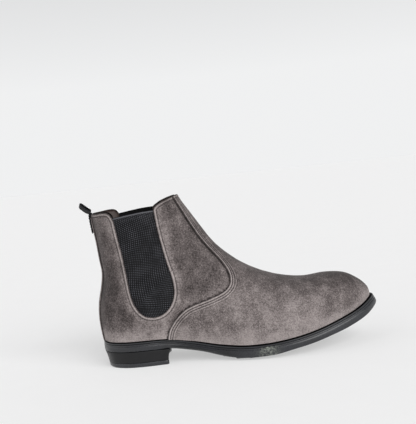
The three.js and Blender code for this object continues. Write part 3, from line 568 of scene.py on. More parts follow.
def panel(name, runs, material, slot, outer, thickness, worked=(), spacing=2.3, rows=ROW_GAPS, tone=None,
          rim=0.35):
    """A closed sheet on the last, inside runs of points that follow each other anticlockwise.

    outer gives its outer face's height over the last, worked its finished edges, and tone its shade.
    The CAD node that it replaces has its name without the last word."""
    outline = chained(runs)
    uv, faces, ring = flat_mesh(outline, worked, spacing, rows)
    base, normal = pattern.point(uv), pattern.normal(uv)
    height = outer(uv, base)
    shade = np.zeros(len(uv))
    for run, edge in worked:
        d = nearest(base, pattern.point(resample(run, 0.4)))
        height = height + edge.height(d)
        shade = shade + edge.shade(d)
    if tone:
        shade = shade + tone(uv, base)
    inner = outer(uv, base) - thickness
    top, bottom = base + normal * height[:, None], base + normal * inner[:, None]
    # The rim: three rows of points that round the cut edge from the outer face to the inner one.
    rim_base, rim_normal = base[ring], normal[ring]
    along = unit(np.roll(rim_base, -1, 0) - np.roll(rim_base, 1, 0))
    away = unit(np.cross(rim_normal, along))
    drop = (height - inner)[ring]
    rows_of_rim = [top[ring] + away * rim * r - rim_normal * (drop * q)[:, None]
                   for r, q in ((0.6, 0.12), (1, 0.4), (0.8, 0.75))]
    n, m = len(uv), len(ring)
    points = np.concatenate([top, bottom, *rows_of_rim])
    rim_ids = [np.array(ring), *(2 * n + k * m + np.arange(m) for k in range(3)), np.array(ring) + n]
    outward = np.cross(base[faces[:, 1]] - base[faces[:, 0]], base[faces[:, 2]] - base[faces[:, 0]])
    turn = (outward * normal[faces[:, 0]]).sum(1).mean() < 0
    outer_faces = faces[:, ::-1] if turn else faces
    all_faces = outer_faces.tolist() + (outer_faces[:, ::-1] + n).tolist()
    for a, b in zip(rim_ids, rim_ids[1:]):
        for i in range(m):
            j = (i + 1) % m
            all_faces.append((a[i], b[i], b[j], a[j]) if turn else (a[j], b[j], b[i], a[i]))
    shade = np.concatenate([shade, np.full(n, INNER_SHADE), np.full(3 * m, RIM_SHADE)])
    weave = np.column_stack([np.concatenate([uv, uv, uv[ring], uv[ring], uv[ring]]), np.zeros(len(points))])
    node = name.rsplit("_", 1)[0]
    return add_piece(name, points, all_faces, material, slot, [node], shade=shade, weave=weave)


# ---------------------------------------------------------------- materials


class Nodes:
    """Short ways to build a node material."""

    def __init__(self, name):
        self.material = bpy.data.materials.new(name)
        self.material.use_nodes = True
        self.tree = self.material.node_tree
        self.shader = self.tree.nodes["Principled BSDF"]
        self.place = self.node("ShaderNodeTexCoord").outputs["Object"]

    def node(self, kind, **inputs):
        node = self.tree.nodes.new(kind)
        for key, value in inputs.items():
            self.put(node.inputs[key.replace("_", " ")], value)
        return node

    def put(self, socket, value):
        if isinstance(value, bpy.types.NodeSocket):
            self.tree.links.new(value, socket)
        else:
            socket.default_value = value

    def noise(self, size, detail=3.0, rough=0.55, stretch=None):
        """Noise whose blotches are about size millimetres across."""
        where = self.place
        if stretch:
            where = self.node("ShaderNodeMapping", Vector=where, Scale=stretch).outputs["Vector"]
        noise = self.node("ShaderNodeTexNoise", Vector=where, Scale=1 / (size * MM), Detail=detail,
                          Roughness=rough)
        return noise.outputs["Fac"]

    def attribute(self, name, output="Fac"):
        node = self.node("ShaderNodeAttribute")
        node.attribute_name = name
        return node.outputs[output]

    def threads(self):
        """Millimetres along and across the cloth."""
        split = self.node("ShaderNodeSeparateXYZ", Vector=self.attribute("weave", "Vector"))
        return split.outputs["X"], split.outputs["Y"]

    def wave(self, value, pitch):
        return self.math("SINE", self.math("MULTIPLY", value, 2 * math.pi / pitch))

    def math(self, operation, a, b=0.0, clamp=False):
        node = self.node("ShaderNodeMath")
        node.operation, node.use_clamp = operation, clamp
        self.put(node.inputs[0], a)
        self.put(node.inputs[1], b)
        return node.outputs[0]

    def span(self, value, low, high, to_low=0.0, to_high=1.0, smooth=False):
        node = self.node("ShaderNodeMapRange", Value=value)
        node.interpolation_type = "SMOOTHSTEP" if smooth else "LINEAR"
        node.inputs["From Min"].default_value, node.inputs["From Max"].default_value = low, high
        node.inputs["To Min"].default_value, node.inputs["To Max"].default_value = to_low, to_high
        return node.outputs["Result"]

    def mix(self, share, a, b, blend="MIX"):
        node = self.node("ShaderNodeMix")
        node.data_type, node.blend_type = "RGBA", blend
        self.put(node.inputs[0], share)
        self.put(node.inputs[6], a if isinstance(a, bpy.types.NodeSocket) else (*a, 1))
        self.put(node.inputs[7], b if isinstance(b, bpy.types.NodeSocket) else (*b, 1))
        return node.outputs[2]

    def bump(self, height, depth, strength):
        """Bump of a height from 0 to 1 that stands for depth millimetres."""
        bump = self.node("ShaderNodeBump", Height=height, Strength=strength, Distance=depth * MM)
        return bump.outputs["Normal"]

    def finish(self, colour, roughness, normal=None, **fixed):
        self.put(self.shader.inputs["Base Color"], colour)
        self.put(self.shader.inputs["Roughness"], roughness)
        if normal:
            self.put(self.shader.inputs["Normal"], normal)
        for key, value in fixed.items():
            self.shader.inputs[key.replace("_", " ")].default_value = value
        return self.material


def suede(name, dark, middle, light):
    """Brushed suede: cloudy nap that lies lighter or darker, short fibres, and the shade attribute's rubbed
    edges, painted highlights and painted shade.
    """
    n = Nodes(name)
    clouds = n.noise(17, 2.0)
    streaks = n.noise(9, 3.0, 0.6, stretch=(1.1, 1.1, 0.6))
    fibres = n.noise(0.8, 3.0, 0.7)
    flecks = n.noise(1.5, 4.0, 0.75)
    nap = n.math("ADD", n.span(clouds, 0.3, 0.7, -0.35, 0.35), n.span(streaks, 0.3, 0.7, -0.28, 0.28))
    nap = n.math("ADD", nap, n.span(flecks, 0.3, 0.7, -0.85, 0.85))
    nap = n.math("ADD", nap, n.span(fibres, 0.25, 0.75, -0.8, 0.8))
    # The shade attribute adds painted light and shade, and rubbed paler nap, to the nap's own tone.
    tone = n.math("ADD", nap, n.attribute("shade"))
    colour = n.mix(n.span(tone, -1, 0, 1, 0), middle, dark)
    colour = n.mix(n.span(tone, 0, 1.1), colour, light)
    # Tones above 1.3 are painted highlights on beads and ridges; tones below -1.5 are painted shadow lines at
    # cut edges and in grooves.
    colour = n.mix(n.span(tone, 1.3, 2.6), colour, tuple(c * 1.5 for c in light))
    colour = n.mix(n.span(tone, -2.8, -1.5, 1, 0), colour, tuple(c * 0.15 for c in dark))
    relief = n.math("ADD", n.math("MULTIPLY", flecks, 0.5), n.math("MULTIPLY", fibres, 0.5))
    return n.finish(colour, 0.93, n.bump(relief, 0.6, 0.6), Specular_IOR_Level=0.15, Sheen_Weight=0.17,
                    Sheen_Roughness=0.45, Sheen_Tint=(0.85, 0.8, 0.78, 1))


def thread(name, colour):
    n = Nodes(name)
    twist = n.noise(0.35, 2.0)
    shade = n.mix(twist, tuple(c * 0.6 for c in colour), colour)
    return n.finish(shade, 0.6, n.bump(twist, 0.1, 0.5), Specular_IOR_Level=0.3, Sheen_Weight=0.1)


def elastic(name):
    """Gore elastic: upright ribs crossed by slanting yarns, which leave a fine lattice of raised dots."""
    n = Nodes(name)
    along, across = n.threads()
    first, second = (n.wave(n.math(way, across, n.math("MULTIPLY", along, 0.75)), 2.25)
                     for way in ("ADD", "SUBTRACT"))
    worn = n.span(n.noise(12, 3.0), 0.35, 0.65, 0.35, 1.0)
    dots = n.math("MULTIPLY", n.span(n.math("ADD", first, second), 0.2, 1.8, smooth=True), worn)
    rib = n.span(n.wave(across, 2.7), -1, 1)
    dusty = n.noise(9, 3.0)
    colour = n.mix(dots, (0.003, 0.003, 0.0035), (0.095, 0.098, 0.11))
    colour = n.mix(n.math("MULTIPLY", n.span(dusty, 0.4, 0.75), 0.12), colour, (0.04, 0.038, 0.04))
    colour = n.mix(n.math("MULTIPLY", n.attribute("shade"), 0.5, clamp=True), colour, (0.1, 0.1, 0.11))
    # Painted shade: the inner face and the cut edge, whose shade is negative, turn black.
    colour = n.mix(n.span(n.attribute("shade"), -0.3, 0, 1, 0), colour, (0.002, 0.002, 0.0025))
    height = n.math("ADD", n.math("MULTIPLY", dots, 0.7), n.math("MULTIPLY", rib, 0.3))
    return n.finish(colour, 0.7, n.bump(height, 0.3, 0.8), Specular_IOR_Level=0.12)


def webbing(name):
    """Narrow woven tape: rows of chevrons across it and firm edges."""
    n = Nodes(name)
    along, across = n.threads()
    fold = n.math("PINGPONG", across, 2.0)
    twill = n.span(n.wave(n.math("ADD", along, fold), 0.9), -1, 1)
    columns = n.span(n.wave(across, 1.0), -1, 1)
    height = n.math("ADD", n.math("MULTIPLY", twill, 0.6), n.math("MULTIPLY", columns, 0.4))
    worn = n.noise(5, 3.0)
    colour = n.mix(height, (0.003, 0.003, 0.004), (0.02, 0.02, 0.023))
    colour = n.mix(n.math("MULTIPLY", n.span(worn, 0.45, 0.8), 0.3), colour, (0.05, 0.05, 0.053))
    return n.finish(colour, 0.75, n.bump(height, 0.28, 0.8), Specular_IOR_Level=0.15)


def leather(name, dark, light):
    """Smooth leather with pores and an uneven dye."""
    n = Nodes(name)
    cloudy = n.noise(16, 3.0)
    pores = n.node("ShaderNodeTexVoronoi", Vector=n.place, Scale=1 / (0.9 * MM))
    pits = n.span(pores.outputs["Distance"], 0.0, 0.55, smooth=True)
    rough = n.noise(0.7, 3.0)
    colour = n.mix(n.span(cloudy, 0.3, 0.7), dark, light)
    # Darker where the shade is negative: the lining's black top edge, and painted shade on inner faces and
    # cut edges.
    colour = n.mix(n.span(n.attribute("shade"), -1, 0, 1, 0), colour, tuple(c * 0.2 for c in dark))
    relief = n.math("ADD", n.math("MULTIPLY", pits, 0.5), n.math("MULTIPLY", rough, 0.5))
    rough = n.span(cloudy, 0.2, 0.8, 0.47, 0.65)
    return n.finish(colour, rough, n.bump(relief, 0.2, 0.5), Specular_IOR_Level=0.4)


def rubber(name, dark, light, roughness, dust, gloss, grain=1.2):
    """Moulded rubber with a fine grain, a cloudy bloom and specks of dust.

    A positive shade is scuffed and a negative one is painted shadow, black and without gloss, as in a recess."""
    n = Nodes(name)
    cloudy = n.noise(22, 3.0)
    fine = n.noise(grain, 4.0, 0.6)
    specks = n.noise(2.4, 5.0, 0.7)
    colour = n.mix(n.span(cloudy, 0.3, 0.7), dark, light)
    dusty = n.math("MULTIPLY", n.span(specks, 0.55, 0.75), dust)
    colour = n.mix(dusty, colour, tuple(c * 2.2 + 0.02 for c in light))
    shade = n.attribute("shade")
    scuffed = n.math("MULTIPLY", n.math("MULTIPLY", shade, 1, clamp=True), n.span(specks, 0.42, 0.6))
    colour = n.mix(scuffed, colour, (0.2, 0.215, 0.185))
    # Painted shadow: black and without gloss where the shade is negative.
    shadow = n.span(shade, -1, 0, 1, 0)
    colour = n.mix(shadow, colour, (0.0008, 0.0008, 0.001))
    n.put(n.shader.inputs["Specular IOR Level"], n.span(shadow, 0, 1, gloss, 0.02))
    return n.finish(colour, n.span(fine, 0.3, 0.7, roughness - 0.1, roughness + 0.12),
                    n.bump(n.math("ADD", fine, n.math("MULTIPLY", specks, 0.4)), 0.12, 0.5))


def board(name, dark, light, size=1.4):
    """Fibre board, cork or foam: two tones of small grains."""
    n = Nodes(name)
    cells = n.node("ShaderNodeTexVoronoi", Vector=n.place, Scale=1 / (size * MM))
    tones = n.span(cells.outputs["Color"], 0.0, 1.0)
    flecks = n.noise(size * 0.5, 4.0)
    share = n.math("ADD", n.math("MULTIPLY", tones, 0.6), n.math("MULTIPLY", flecks, 0.4))
    bump = n.bump(cells.outputs["Distance"], 0.25, 0.6)
    return n.finish(n.mix(share, dark, light), 0.85, bump, Specular_IOR_Level=0.2)


def steel(name):
    n = Nodes(name)
    brushed = n.noise(0.6, 3.0, stretch=(1, 1, 0.1))
    colour = n.mix(brushed, (0.42, 0.42, 0.43), (0.6, 0.6, 0.61))
    roughness = n.span(brushed, 0.3, 0.7, 0.28, 0.42)
    return n.finish(colour, roughness, n.bump(brushed, 0.03, 0.4), Metallic=1.0)


SUEDE = suede("suede_grey_brown", (0.036, 0.03, 0.029), (0.127, 0.108, 0.105), (0.29, 0.255, 0.247))
THREAD_MATERIAL = thread("thread_dark_taupe", (0.11, 0.093, 0.09))
BLACK_THREAD = thread("thread_black", (0.02, 0.02, 0.022))
ELASTIC = elastic("elastic_black_twill")
WEBBING = webbing("webbing_black")
LINING_LEATHER = leather("lining_leather_taupe", (0.058, 0.041, 0.036), (0.1, 0.071, 0.063))
INSOCK = leather("footbed_leather", (0.07, 0.04, 0.03), (0.12, 0.072, 0.055))
RUBBER = rubber("outsole_rubber_black", (0.0055, 0.006, 0.008), (0.011, 0.012, 0.0165), 0.32, 0.12, 0.65)
WELT_RUBBER = rubber("welt_black", (0.005, 0.0055, 0.007), (0.01, 0.011, 0.0145), 0.34, 0.1, 0.6)
HEEL_STACK = rubber("heel_black_satin", (0.003, 0.003, 0.0035), (0.006, 0.006, 0.007), 0.4, 0.06, 0.35,
                    grain=1.6)
BOARD = board("insole_board_grey", (0.3, 0.26, 0.2), (0.45, 0.4, 0.32))
STIFFENER = board("stiffener_fibre", (0.28, 0.23, 0.17), (0.42, 0.36, 0.28), 0.8)
CORK = board("cork_filler", (0.16, 0.09, 0.045), (0.36, 0.23, 0.12), 2.2)
FOAM = board("heel_pad_foam", (0.3, 0.3, 0.28), (0.5, 0.49, 0.46), 0.7)
STEEL = steel("steel")

# ---------------------------------------------------------------- outlines of the upper

STEP = 1.15  # between the points of a panel's outline


def side_line(points, step=0.6):
    return resample(catmull(points, 24), step)


def crossing(a, b):
    """Where line a first crosses line b: the index in a after which it does, and the point."""
    for i in range(len(a) - 1):
        p, r = a[i], a[i + 1] - a[i]
        q, s = b[:-1], np.diff(b, axis=0)
        det = r[0] * s[:, 1] - r[1] * s[:, 0]
        det[np.abs(det) < 1e-12] = 1e-12
        t = ((q - p)[:, 0] * s[:, 1] - (q - p)[:, 1] * s[:, 0]) / det
        w = ((q - p)[:, 0] * r[1] - (q - p)[:, 1] * r[0]) / det
        hits = np.nonzero((t >= 0) & (t <= 1) & (w >= 0) & (w <= 1))[0]
        if len(hits):
            return i, p + r * t[hits[0]]
    raise ValueError("the two lines don't cross")


def from_crossing(a, b):
    i, p = crossing(a, b)
    return np.vstack([p, a[i + 1:]])


def to_crossing(a, b):
    i, p = crossing(a, b)
    return np.vstack([a[:i + 1], p])


def offset_in_view(line, distance):
    """A line as seen from the side, moved to its left."""
    along = unit(np.gradient(line, axis=0))
    return line + np.stack([-along[:, 1], along[:, 0]], 1) * np.reshape(distance, (-1, 1))


def longer(line, start, end=0.0):
    """A line with its ends run on straight."""
    first, last = unit(line[0] - line[3]), unit(line[-1] - line[-4])
    return np.vstack([line[0] + first * start, line, line[-1] + last * end])


crest_xz = np.stack([station_value(k, np.linspace(0, TOP, 400)) for k in (0, 1)], 1)
feather_xz = np.stack(base_of(np.linspace(0, CORNER, 600)), 1)
back_xz = np.stack(base_of(np.linspace(CORNER, TOP, 300)), 1)

seam_line = side_line(VAMP_SEAM)
gore_line = side_line(GORE_EDGE)
gore_top = side_line(GORE_TOP)
rear_top = side_line(REAR_TOP)
front_top = side_line(FRONT_TOP)

seam_line = from_crossing(seam_line, front_top)
seam_line = to_crossing(seam_line, feather_xz)
front_to_crest = to_crossing(front_top, crest_xz)
gore_cut = from_crossing(to_crossing(gore_line, front_top), rear_top)
rear_cut = to_crossing(from_crossing(rear_top, back_xz), gore_line)
front_cut = from_crossing(front_to_crest, gore_line)


def on_side(line, side, step=STEP):
    """A line seen from the side, laid on one side of the pattern with points a step apart."""
    return resample(seen_from_side(line, side), step)


def lengthwise(start, end, tau, count, step):
    """A line of the pattern between two stations at one tau: 0 is the crest, and -1 or 1 the base."""
    s = np.linspace(start, end, count)
    return resample(pattern.flat(np.stack([s, np.full(count, float(tau))], 1)), step)


def base_run(side, start, end, step=STEP):
    return lengthwise(start, end, side, 400, step)


def station_of(xz):
    """The station of one point seen from the side."""
    return float(locate(np.array([xz]), -1)[0, 0])


def ordered(run, side):
    """A run given for the lateral side, turned round for the medial one."""
    return run if side < 0 else run[::-1]


def facing(runs, side):
    """A closed outline's runs, kept anticlockwise on either side."""
    return [ordered(run, side) for run in ordered(runs, side)]


def crest_point(run):
    """A run that ends at the crest, with its last point exactly on it."""
    run = run.copy()
    run[-1, 1] = 0
    return run


# ---------------------------------------------------------------- the upper

NAMES = {-1: "lateral", 1: "medial"}
seam_foot = station_of(seam_line[-1])


def suede_painted_shading(uv, base):
    """Painted light and shade on the suede: painted light low on the sides, on the forefoot's sides and at
    the top of the shaft, painted shade over the toe, heel and instep.
    """
    s, tau = pattern.station(uv)
    x = base[:, 0]
    above = base[:, 2] - feather_height(x)
    low = 1 - smoothstep(above, 3, 26)
    crest = 1 - smoothstep(np.abs(tau), 0.05, 0.5)
    toe = smoothstep(x, 215, 285)
    side = smoothstep(x, 110, 150) * (1 - smoothstep(x, 225, 285)) * smoothstep(np.abs(tau), 0.3, 0.6)
    heel = 1 - smoothstep(x, 8, 75)
    foot = 1 - smoothstep(above, 1, 13)
    top = smoothstep(base[:, 2], 125, 165)
    pale = 0.45 * low + 0.4 * foot + 0.35 * side + 0.2 * top
    return pale - 0.5 * crest - 0.45 * toe * (1 - 0.7 * low) - 0.4 * heel * (1 - 0.9 * low)


CREASES = ((7.35, 0.25, 0.5), (7.95, 0.3, 0.8), (8.6, 0.28, 1.1), (9.3, 0.22, 1.2))  # station, depth, lean


def creases(uv):
    """Faint walking creases across the forefoot."""
    s, tau = pattern.station(uv)
    middle = 1 - smoothstep(np.abs(tau), 0.35, 0.75)
    return -sum(depth * np.exp(-(((s - at - lean * tau * tau) / 0.12) ** 2)) * middle
                for at, depth, lean in CREASES)


def make_vamp():
    seams = {side: on_side(seam_line[::-1], side) for side in (-1, 1)}
    above = np.vstack([seam_line[0] + [-0.3, 3], seam_line[:3]])
    tops = {side: crest_point(on_side(from_crossing(front_to_crest, above), side)) for side in (-1, 1)}
    feet = {side: base_run(side, 0.03, seam_foot) for side in (-1, 1)}
    for side in (-1, 1):
        tops[side][0], feet[side][-1] = seams[side][-1], seams[side][0]
    runs = [feet[-1], seams[-1], tops[-1], tops[1][::-1], seams[1][::-1], feet[1][::-1]]
    top_line = np.concatenate([tops[-1], tops[1][::-1][1:]])
    worked = [(seams[-1], SEAM_EDGE), (seams[1][::-1], SEAM_EDGE), (top_line, BEAD_EDGE)]
    panel("vamp_suede", runs, SUEDE, "suede", lambda uv, base: UPPER + 0.4 * creases(uv), UPPER - 0.1, worked,
          tone=suede_painted_shading)


def make_quarter(side):
    lap = 3 + 5 * smoothstep(along_of(seam_line), 0, 35)  # how far it runs under the vamp
    under = longer(offset_in_view(seam_line, lap), 12, 15)
    front = to_crossing(front_cut, under)
    under = to_crossing(from_crossing(under, front_to_crest), feather_xz)
    back_end = station_of(rear_cut[0])
    foot = base_run(side, station_of(under[-1]), back_end)
    rear, gore = on_side(rear_cut, side), on_side(gore_cut, side)
    top, seam = on_side(front, side), on_side(under, side)
    rear[0], gore[0], top[0], seam[0], foot[0] = foot[-1], rear[-1], gore[-1], top[-1], seam[-1]
    runs = facing([foot, rear, gore, top, seam], side)
    finished = np.concatenate([rear, gore[1:], top[1:]])
    worked = [(ordered(finished, side), BEAD_EDGE)]

    def tone(uv, base):
        """Dark lines in the shade of the vamp's and the back strip's edges, a pale band round the gore."""
        from_seam = nearest(base, pattern.point(on_side(seam_line, side, 0.8)))
        line = -3.0 * np.exp(-((from_seam / 0.95) ** 2))
        behind = (base[:, 0] < 40) & (base[:, 2] > 34) & (base[:, 2] < 158)
        line = line - 2.4 * behind * np.exp(-(((np.abs(base[:, 1]) - STRIP_HALF) / 1.1) ** 2))
        from_gore = nearest(base, pattern.point(on_side(gore_cut, side, 0.8)))
        middle = smoothstep(np.minimum(from_seam, from_gore), 4, 18) * smoothstep(base[:, 2], 36, 60)
        middle = middle * (0.1 + 0.35 * (1 - smoothstep(base[:, 2], 85, 115)))
        return suede_painted_shading(uv, base) + line + 0.5 * (1 - smoothstep(from_gore, 3, 11)) - middle

    panel(f"quarter_{NAMES[side]}_suede", runs, SUEDE, "suede", lambda uv, base: np.full(len(uv), -0.05),
          UPPER - 0.1, worked, tone=tone)


def make_gore(side):
    lift = [0, 0 if side < 0 else 1.6]  # the medial hem stands a little higher
    reach = offset_in_view(gore_line, -6)
    reach = from_crossing(to_crossing(reach, gore_top[-12:]), gore_top[:24]) + lift
    between = (gore_top[:, 0] > reach[0, 0]) & (gore_top[:, 0] < reach[-1, 0])
    top = np.vstack([reach[-1], (gore_top + lift)[between][::-1], reach[0]])
    edge, hem = on_side(reach, side, 2.0), on_side(top, side, 1.4)
    hem[0], hem[-1] = edge[-1], edge[0]
    if side < 0:
        edge, hem = edge[::-1], hem[::-1]

    def hem_tone(uv, base):
        d = nearest(base, pattern.point(resample(hem, 0.5)))
        return 0.9 * (1 - smoothstep(d, 0.8, 1.6)) + 0.3 * np.exp(-(((d - 5) / 0.6) ** 2))

    def puffed(uv, base):
        d = nearest(base, pattern.point(on_side(gore_cut, side, 0.8)))
        return -2.0 + 0.5 * smoothstep(d, 2, 12)

    name = f"gore_{NAMES[side]}_elastic"
    panel(name, [edge, hem], ELASTIC, "elastic", puffed, ELASTIC_THICK, [(hem, HEM_EDGE)],
          spacing=1.7, rows=(0.5, 1.1, 1.8), tone=hem_tone, rim=0.2)


LINING_SEAM = [(152, 200), (134, 100), (112, 60), (98, -20)]
lining_seam = to_crossing(from_crossing(side_line(LINING_SEAM, 2), crest_xz), feather_xz)
TOPLINE_DEPTH = 1.62  # the lining comes up to this depth at the topline, right behind the suede


def lining_depth(base):
    """How deep the lining's outer face lies: behind the gores at first, then behind the toe puff only."""
    return 4.0 - 2.3 * smoothstep(base[:, 0], 156, 200)


def make_quarter_lining(side):
    hole = offset_in_view(gore_line, -0.8)
    rear_proud, front_proud = longer(offset_in_view(rear_top, 1.0), 4), offset_in_view(front_top, 1.5)
    rear_line = to_crossing(from_crossing(rear_proud, back_xz), hole)
    front_line = to_crossing(from_crossing(front_proud, hole), crest_xz)
    hole = from_crossing(to_crossing(hole, front_proud), rear_proud)
    foot = base_run(side, station_of(lining_seam[-1]), station_of(rear_line[0]), 2.5)
    rear, gore = on_side(rear_line, side, 1.5), on_side(hole, side, 1.5)
    top, seam = crest_point(on_side(front_line, side, 1.5)), on_side(lining_seam, side, 2.5)
    seam[0, 1] = 0
    ridge = lengthwise(station_of(front_line[-1]), station_of(lining_seam[0]), 0, 60, 2.5)
    rear[0], gore[0], top[0] = foot[-1], rear[-1], gore[-1]
    ridge[0], ridge[-1], foot[0] = top[-1], seam[0], seam[-1]
    runs = facing([foot, rear, gore, top, ridge, seam], side)
    topline = pattern.point(np.concatenate([rear, top]))
    hole_edge = pattern.point(resample(gore, 1.0))

    def outer(uv, base):
        from_top, from_gore = nearest(base, topline), nearest(base, hole_edge)
        deep = np.maximum(smoothstep(from_top, 0.5, 9), 1 - smoothstep(from_gore, 7, 12))
        return -(TOPLINE_DEPTH + (lining_depth(base) - TOPLINE_DEPTH) * deep)

    def tone(uv, base):
        return smoothstep(nearest(base, topline), 0.7, 1.3) - 1

    panel(f"quarter_lining_{NAMES[side]}_leather", runs, LINING_LEATHER, "lining", outer, LINING, spacing=3.2,
          tone=tone, rim=0.15)


def make_vamp_lining():
    start = station_of(lining_seam[-1])
    seams = {side: on_side(lining_seam[::-1], side, 3) for side in (-1, 1)}
    feet = {side: base_run(side, 0.4, start, 3) for side in (-1, 1)}
    for side in (-1, 1):
        seams[side][-1, 1] = 0
        feet[side][-1] = seams[side][0]
    runs = [feet[-1], seams[-1], seams[1][::-1], feet[1][::-1]]
    panel("vamp_lining_leather", runs, LINING_LEATHER, "lining", lambda uv, base: -lining_depth(base), LINING,
          spacing=4, rim=0.1)


BACK_REACH = 26  # how far forward the back's surface is worked out


def back_surface(heights, across):
    """Points and normals of the last's back, by height and by distance round it from the centre line."""
    points, normals = np.zeros((2, len(heights), len(across), 3))
    reach = BACK_REACH * np.linspace(0, 1, 26) ** 2 + 1e-4
    for i, z in enumerate(heights):
        for side in (-1, 1):
            line = np.stack([back_x(z) + reach, np.full(len(reach), float(z))], 1)
            st = locate(line, side)
            p, n = last_point(st[:, 0], st[:, 1]), last_normal(st[:, 0], st[:, 1])
            p[0], n[0] = (back_x(z), 0, z), (-1, 0, 0)
            mine = np.sign(across) == side if side < 0 else across >= 0
            at, length = np.abs(across[mine]), along_of(p)
            points[i, mine] = at_lengths(at, length, p)
            normals[i, mine] = unit(at_lengths(at, length, n))
    # The normals near the centre line are smoothed by averaging along each row.
    for _ in range(3):
        normals[:, 1:-1] = unit(normals[:, :-2] + normals[:, 1:-1] + normals[:, 2:])
    return points, normals


def up_the_back(low, high, count, across):
    """An upright line on the back, as points and normals."""
    p, n = back_surface(np.linspace(low, high, count), np.array([across * 0.999, across]))
    return p[:, 1], n[:, 1]


def grid_solid(outer, inner):
    """Points and faces of a closed sheet between two equal grids of points."""
    rows, columns = outer.shape[:2]
    n = rows * columns
    faces = tube_faces(rows, columns, closed_columns=False)
    under = [tuple(n + k for k in face[::-1]) for face in faces]
    top = np.arange(n).reshape(rows, columns)
    rim = np.concatenate([top[0, :-1], top[:-1, -1], top[-1, :0:-1], top[:0:-1, 0]])
    side = [(rim[i], rim[i - 1], rim[i - 1] + n, rim[i] + n) for i in range(len(rim))]
    return np.concatenate([outer.reshape(-1, 3), inner.reshape(-1, 3)]), faces + under + side


STRIP_HALF, STRIP_TOP = 10.5, 164.0  # the back strip's half width and its top


def make_back_strip():
    heights = np.linspace(29.2, STRIP_TOP, 112)
    half = STRIP_HALF - 1.2 * smoothstep(heights, 60, 160)
    share = np.concatenate([np.linspace(-1, -0.7, 9), np.linspace(-0.66, 0.66, 21), np.linspace(0.7, 1, 9)])
    points, normals = back_surface(heights, STRIP_HALF * share)
    d = (1 - np.abs(share))[None, :] * half[:, None]
    d = np.minimum(d, (STRIP_TOP - heights)[:, None] + 0.2)
    height = UPPER - 0.15 + STRIP_EDGE.height(d) - 0.8 * np.exp(-((d / 0.3) ** 2))
    made, faces = grid_solid(points + normals * height[..., None], points + normals * 0.05)
    # Painted light and shade: the strip darker all over but less so near its foot, and its inner face darker
    # still.
    low = 0.2 * (1 - smoothstep(heights, 30, 60))[:, None] - 0.25
    shade = np.concatenate([(STRIP_EDGE.shade(d) + low).ravel(), np.full(d.size, -0.5)])
    add_piece("back_strip_suede", made, faces, SUEDE, "suede", ["back_strip"], shade=shade)
    at = STRIP_HALF * (1 - STRIP_EDGE.rows[0] / 10)
    rows = [up_the_back(31, STRIP_TOP - 2, 160, side * at) for side in (-1, 1)]
    surface_stitches("back_strip_stitching", rows, THREAD_MATERIAL, UPPER - 0.35)


STITCH, PITCH = 2.1, 2.9  # length of one stitch, and from one to the next
THREAD = 0.33             # radius of the thread
SIDES = 6                 # of the thread's section
STITCH_AT = np.array([0, 0.12, 0.35, 0.65, 0.88, 1])              # the rings of a stitch along it
STITCH_LIFT = THREAD * np.array([-0.9, -0.25, 0.3, 0.3, -0.25, -0.9])  # their heights: the ends are sunk
STITCH_SIZE = THREAD * np.array([0.3, 0.85, 1, 1, 0.85, 0.3])     # their radii


def surface_stitches(name, lines, material, height, slot="suede"):
    """Rows of stitches along lines of points that come with their normals."""
    around = np.arange(SIDES) / SIDES * 2 * math.pi
    circle = np.cos(around)[None, :, None], np.sin(around)[None, :, None]
    count = len(STITCH_AT) * SIDES
    shape = tube_faces(len(STITCH_AT), SIDES)
    shape += [tuple(range(SIDES))[::-1], tuple(range(count - SIDES, count))]
    points = []
    for line, normals in lines:
        length = along_of(line)
        for start in np.arange(PITCH * 0.4, length[-1] - STITCH, PITCH):
            at = start + STITCH * STITCH_AT
            base, normal = at_lengths(at, length, line), unit(at_lengths(at, length, normals))
            across = unit(np.cross(normal, unit(np.gradient(base, axis=0))))
            ring = circle[0] * across[:, None] + circle[1] * normal[:, None]
            middle = base + normal * (height + STITCH_LIFT)[:, None]
            points.append((middle[:, None] + STITCH_SIZE[:, None, None] * ring).reshape(-1, 3))
    faces = [tuple(i * count + k for k in face) for i in range(len(points)) for face in shape]
    return add_piece(name, np.concatenate(points), faces, material, slot)


def pattern_rows(run, distances):
    """Lines beside a run of the pattern, with their normals, for rows of stitches."""
    lines = []
    for d in distances:
        line = resample(pattern.shifted(run, d), 0.8)
        true = nearest(pattern.point(line), pattern.point(resample(run, 0.4)))
        line = line[np.abs(true - d) < 0.25]
        lines.append((pattern.point(line), pattern.normal(line)))
    return lines


def make_upper():
    make_vamp()
    for side in (-1, 1):
        make_quarter(side)
        make_gore(side)
        make_quarter_lining(side)
        seam = ordered(on_side(seam_line[::-1], side), side)
        surface_stitches(f"vamp_seam_stitching_{NAMES[side]}", pattern_rows(seam, SEAM_EDGE.rows),
                         THREAD_MATERIAL, UPPER - 0.2)
        rear, gore, front = (on_side(line, side) for line in (rear_cut[14:], gore_cut, front_cut))
        edge = ordered(np.concatenate([rear, gore[1:], front[1:]]), side)
        surface_stitches(f"gore_edge_stitching_{NAMES[side]}", pattern_rows(edge, BEAD_EDGE.rows),
                         THREAD_MATERIAL, -0.25)
    make_vamp_lining()
    make_back_strip()


# ---------------------------------------------------------------- the pull tab

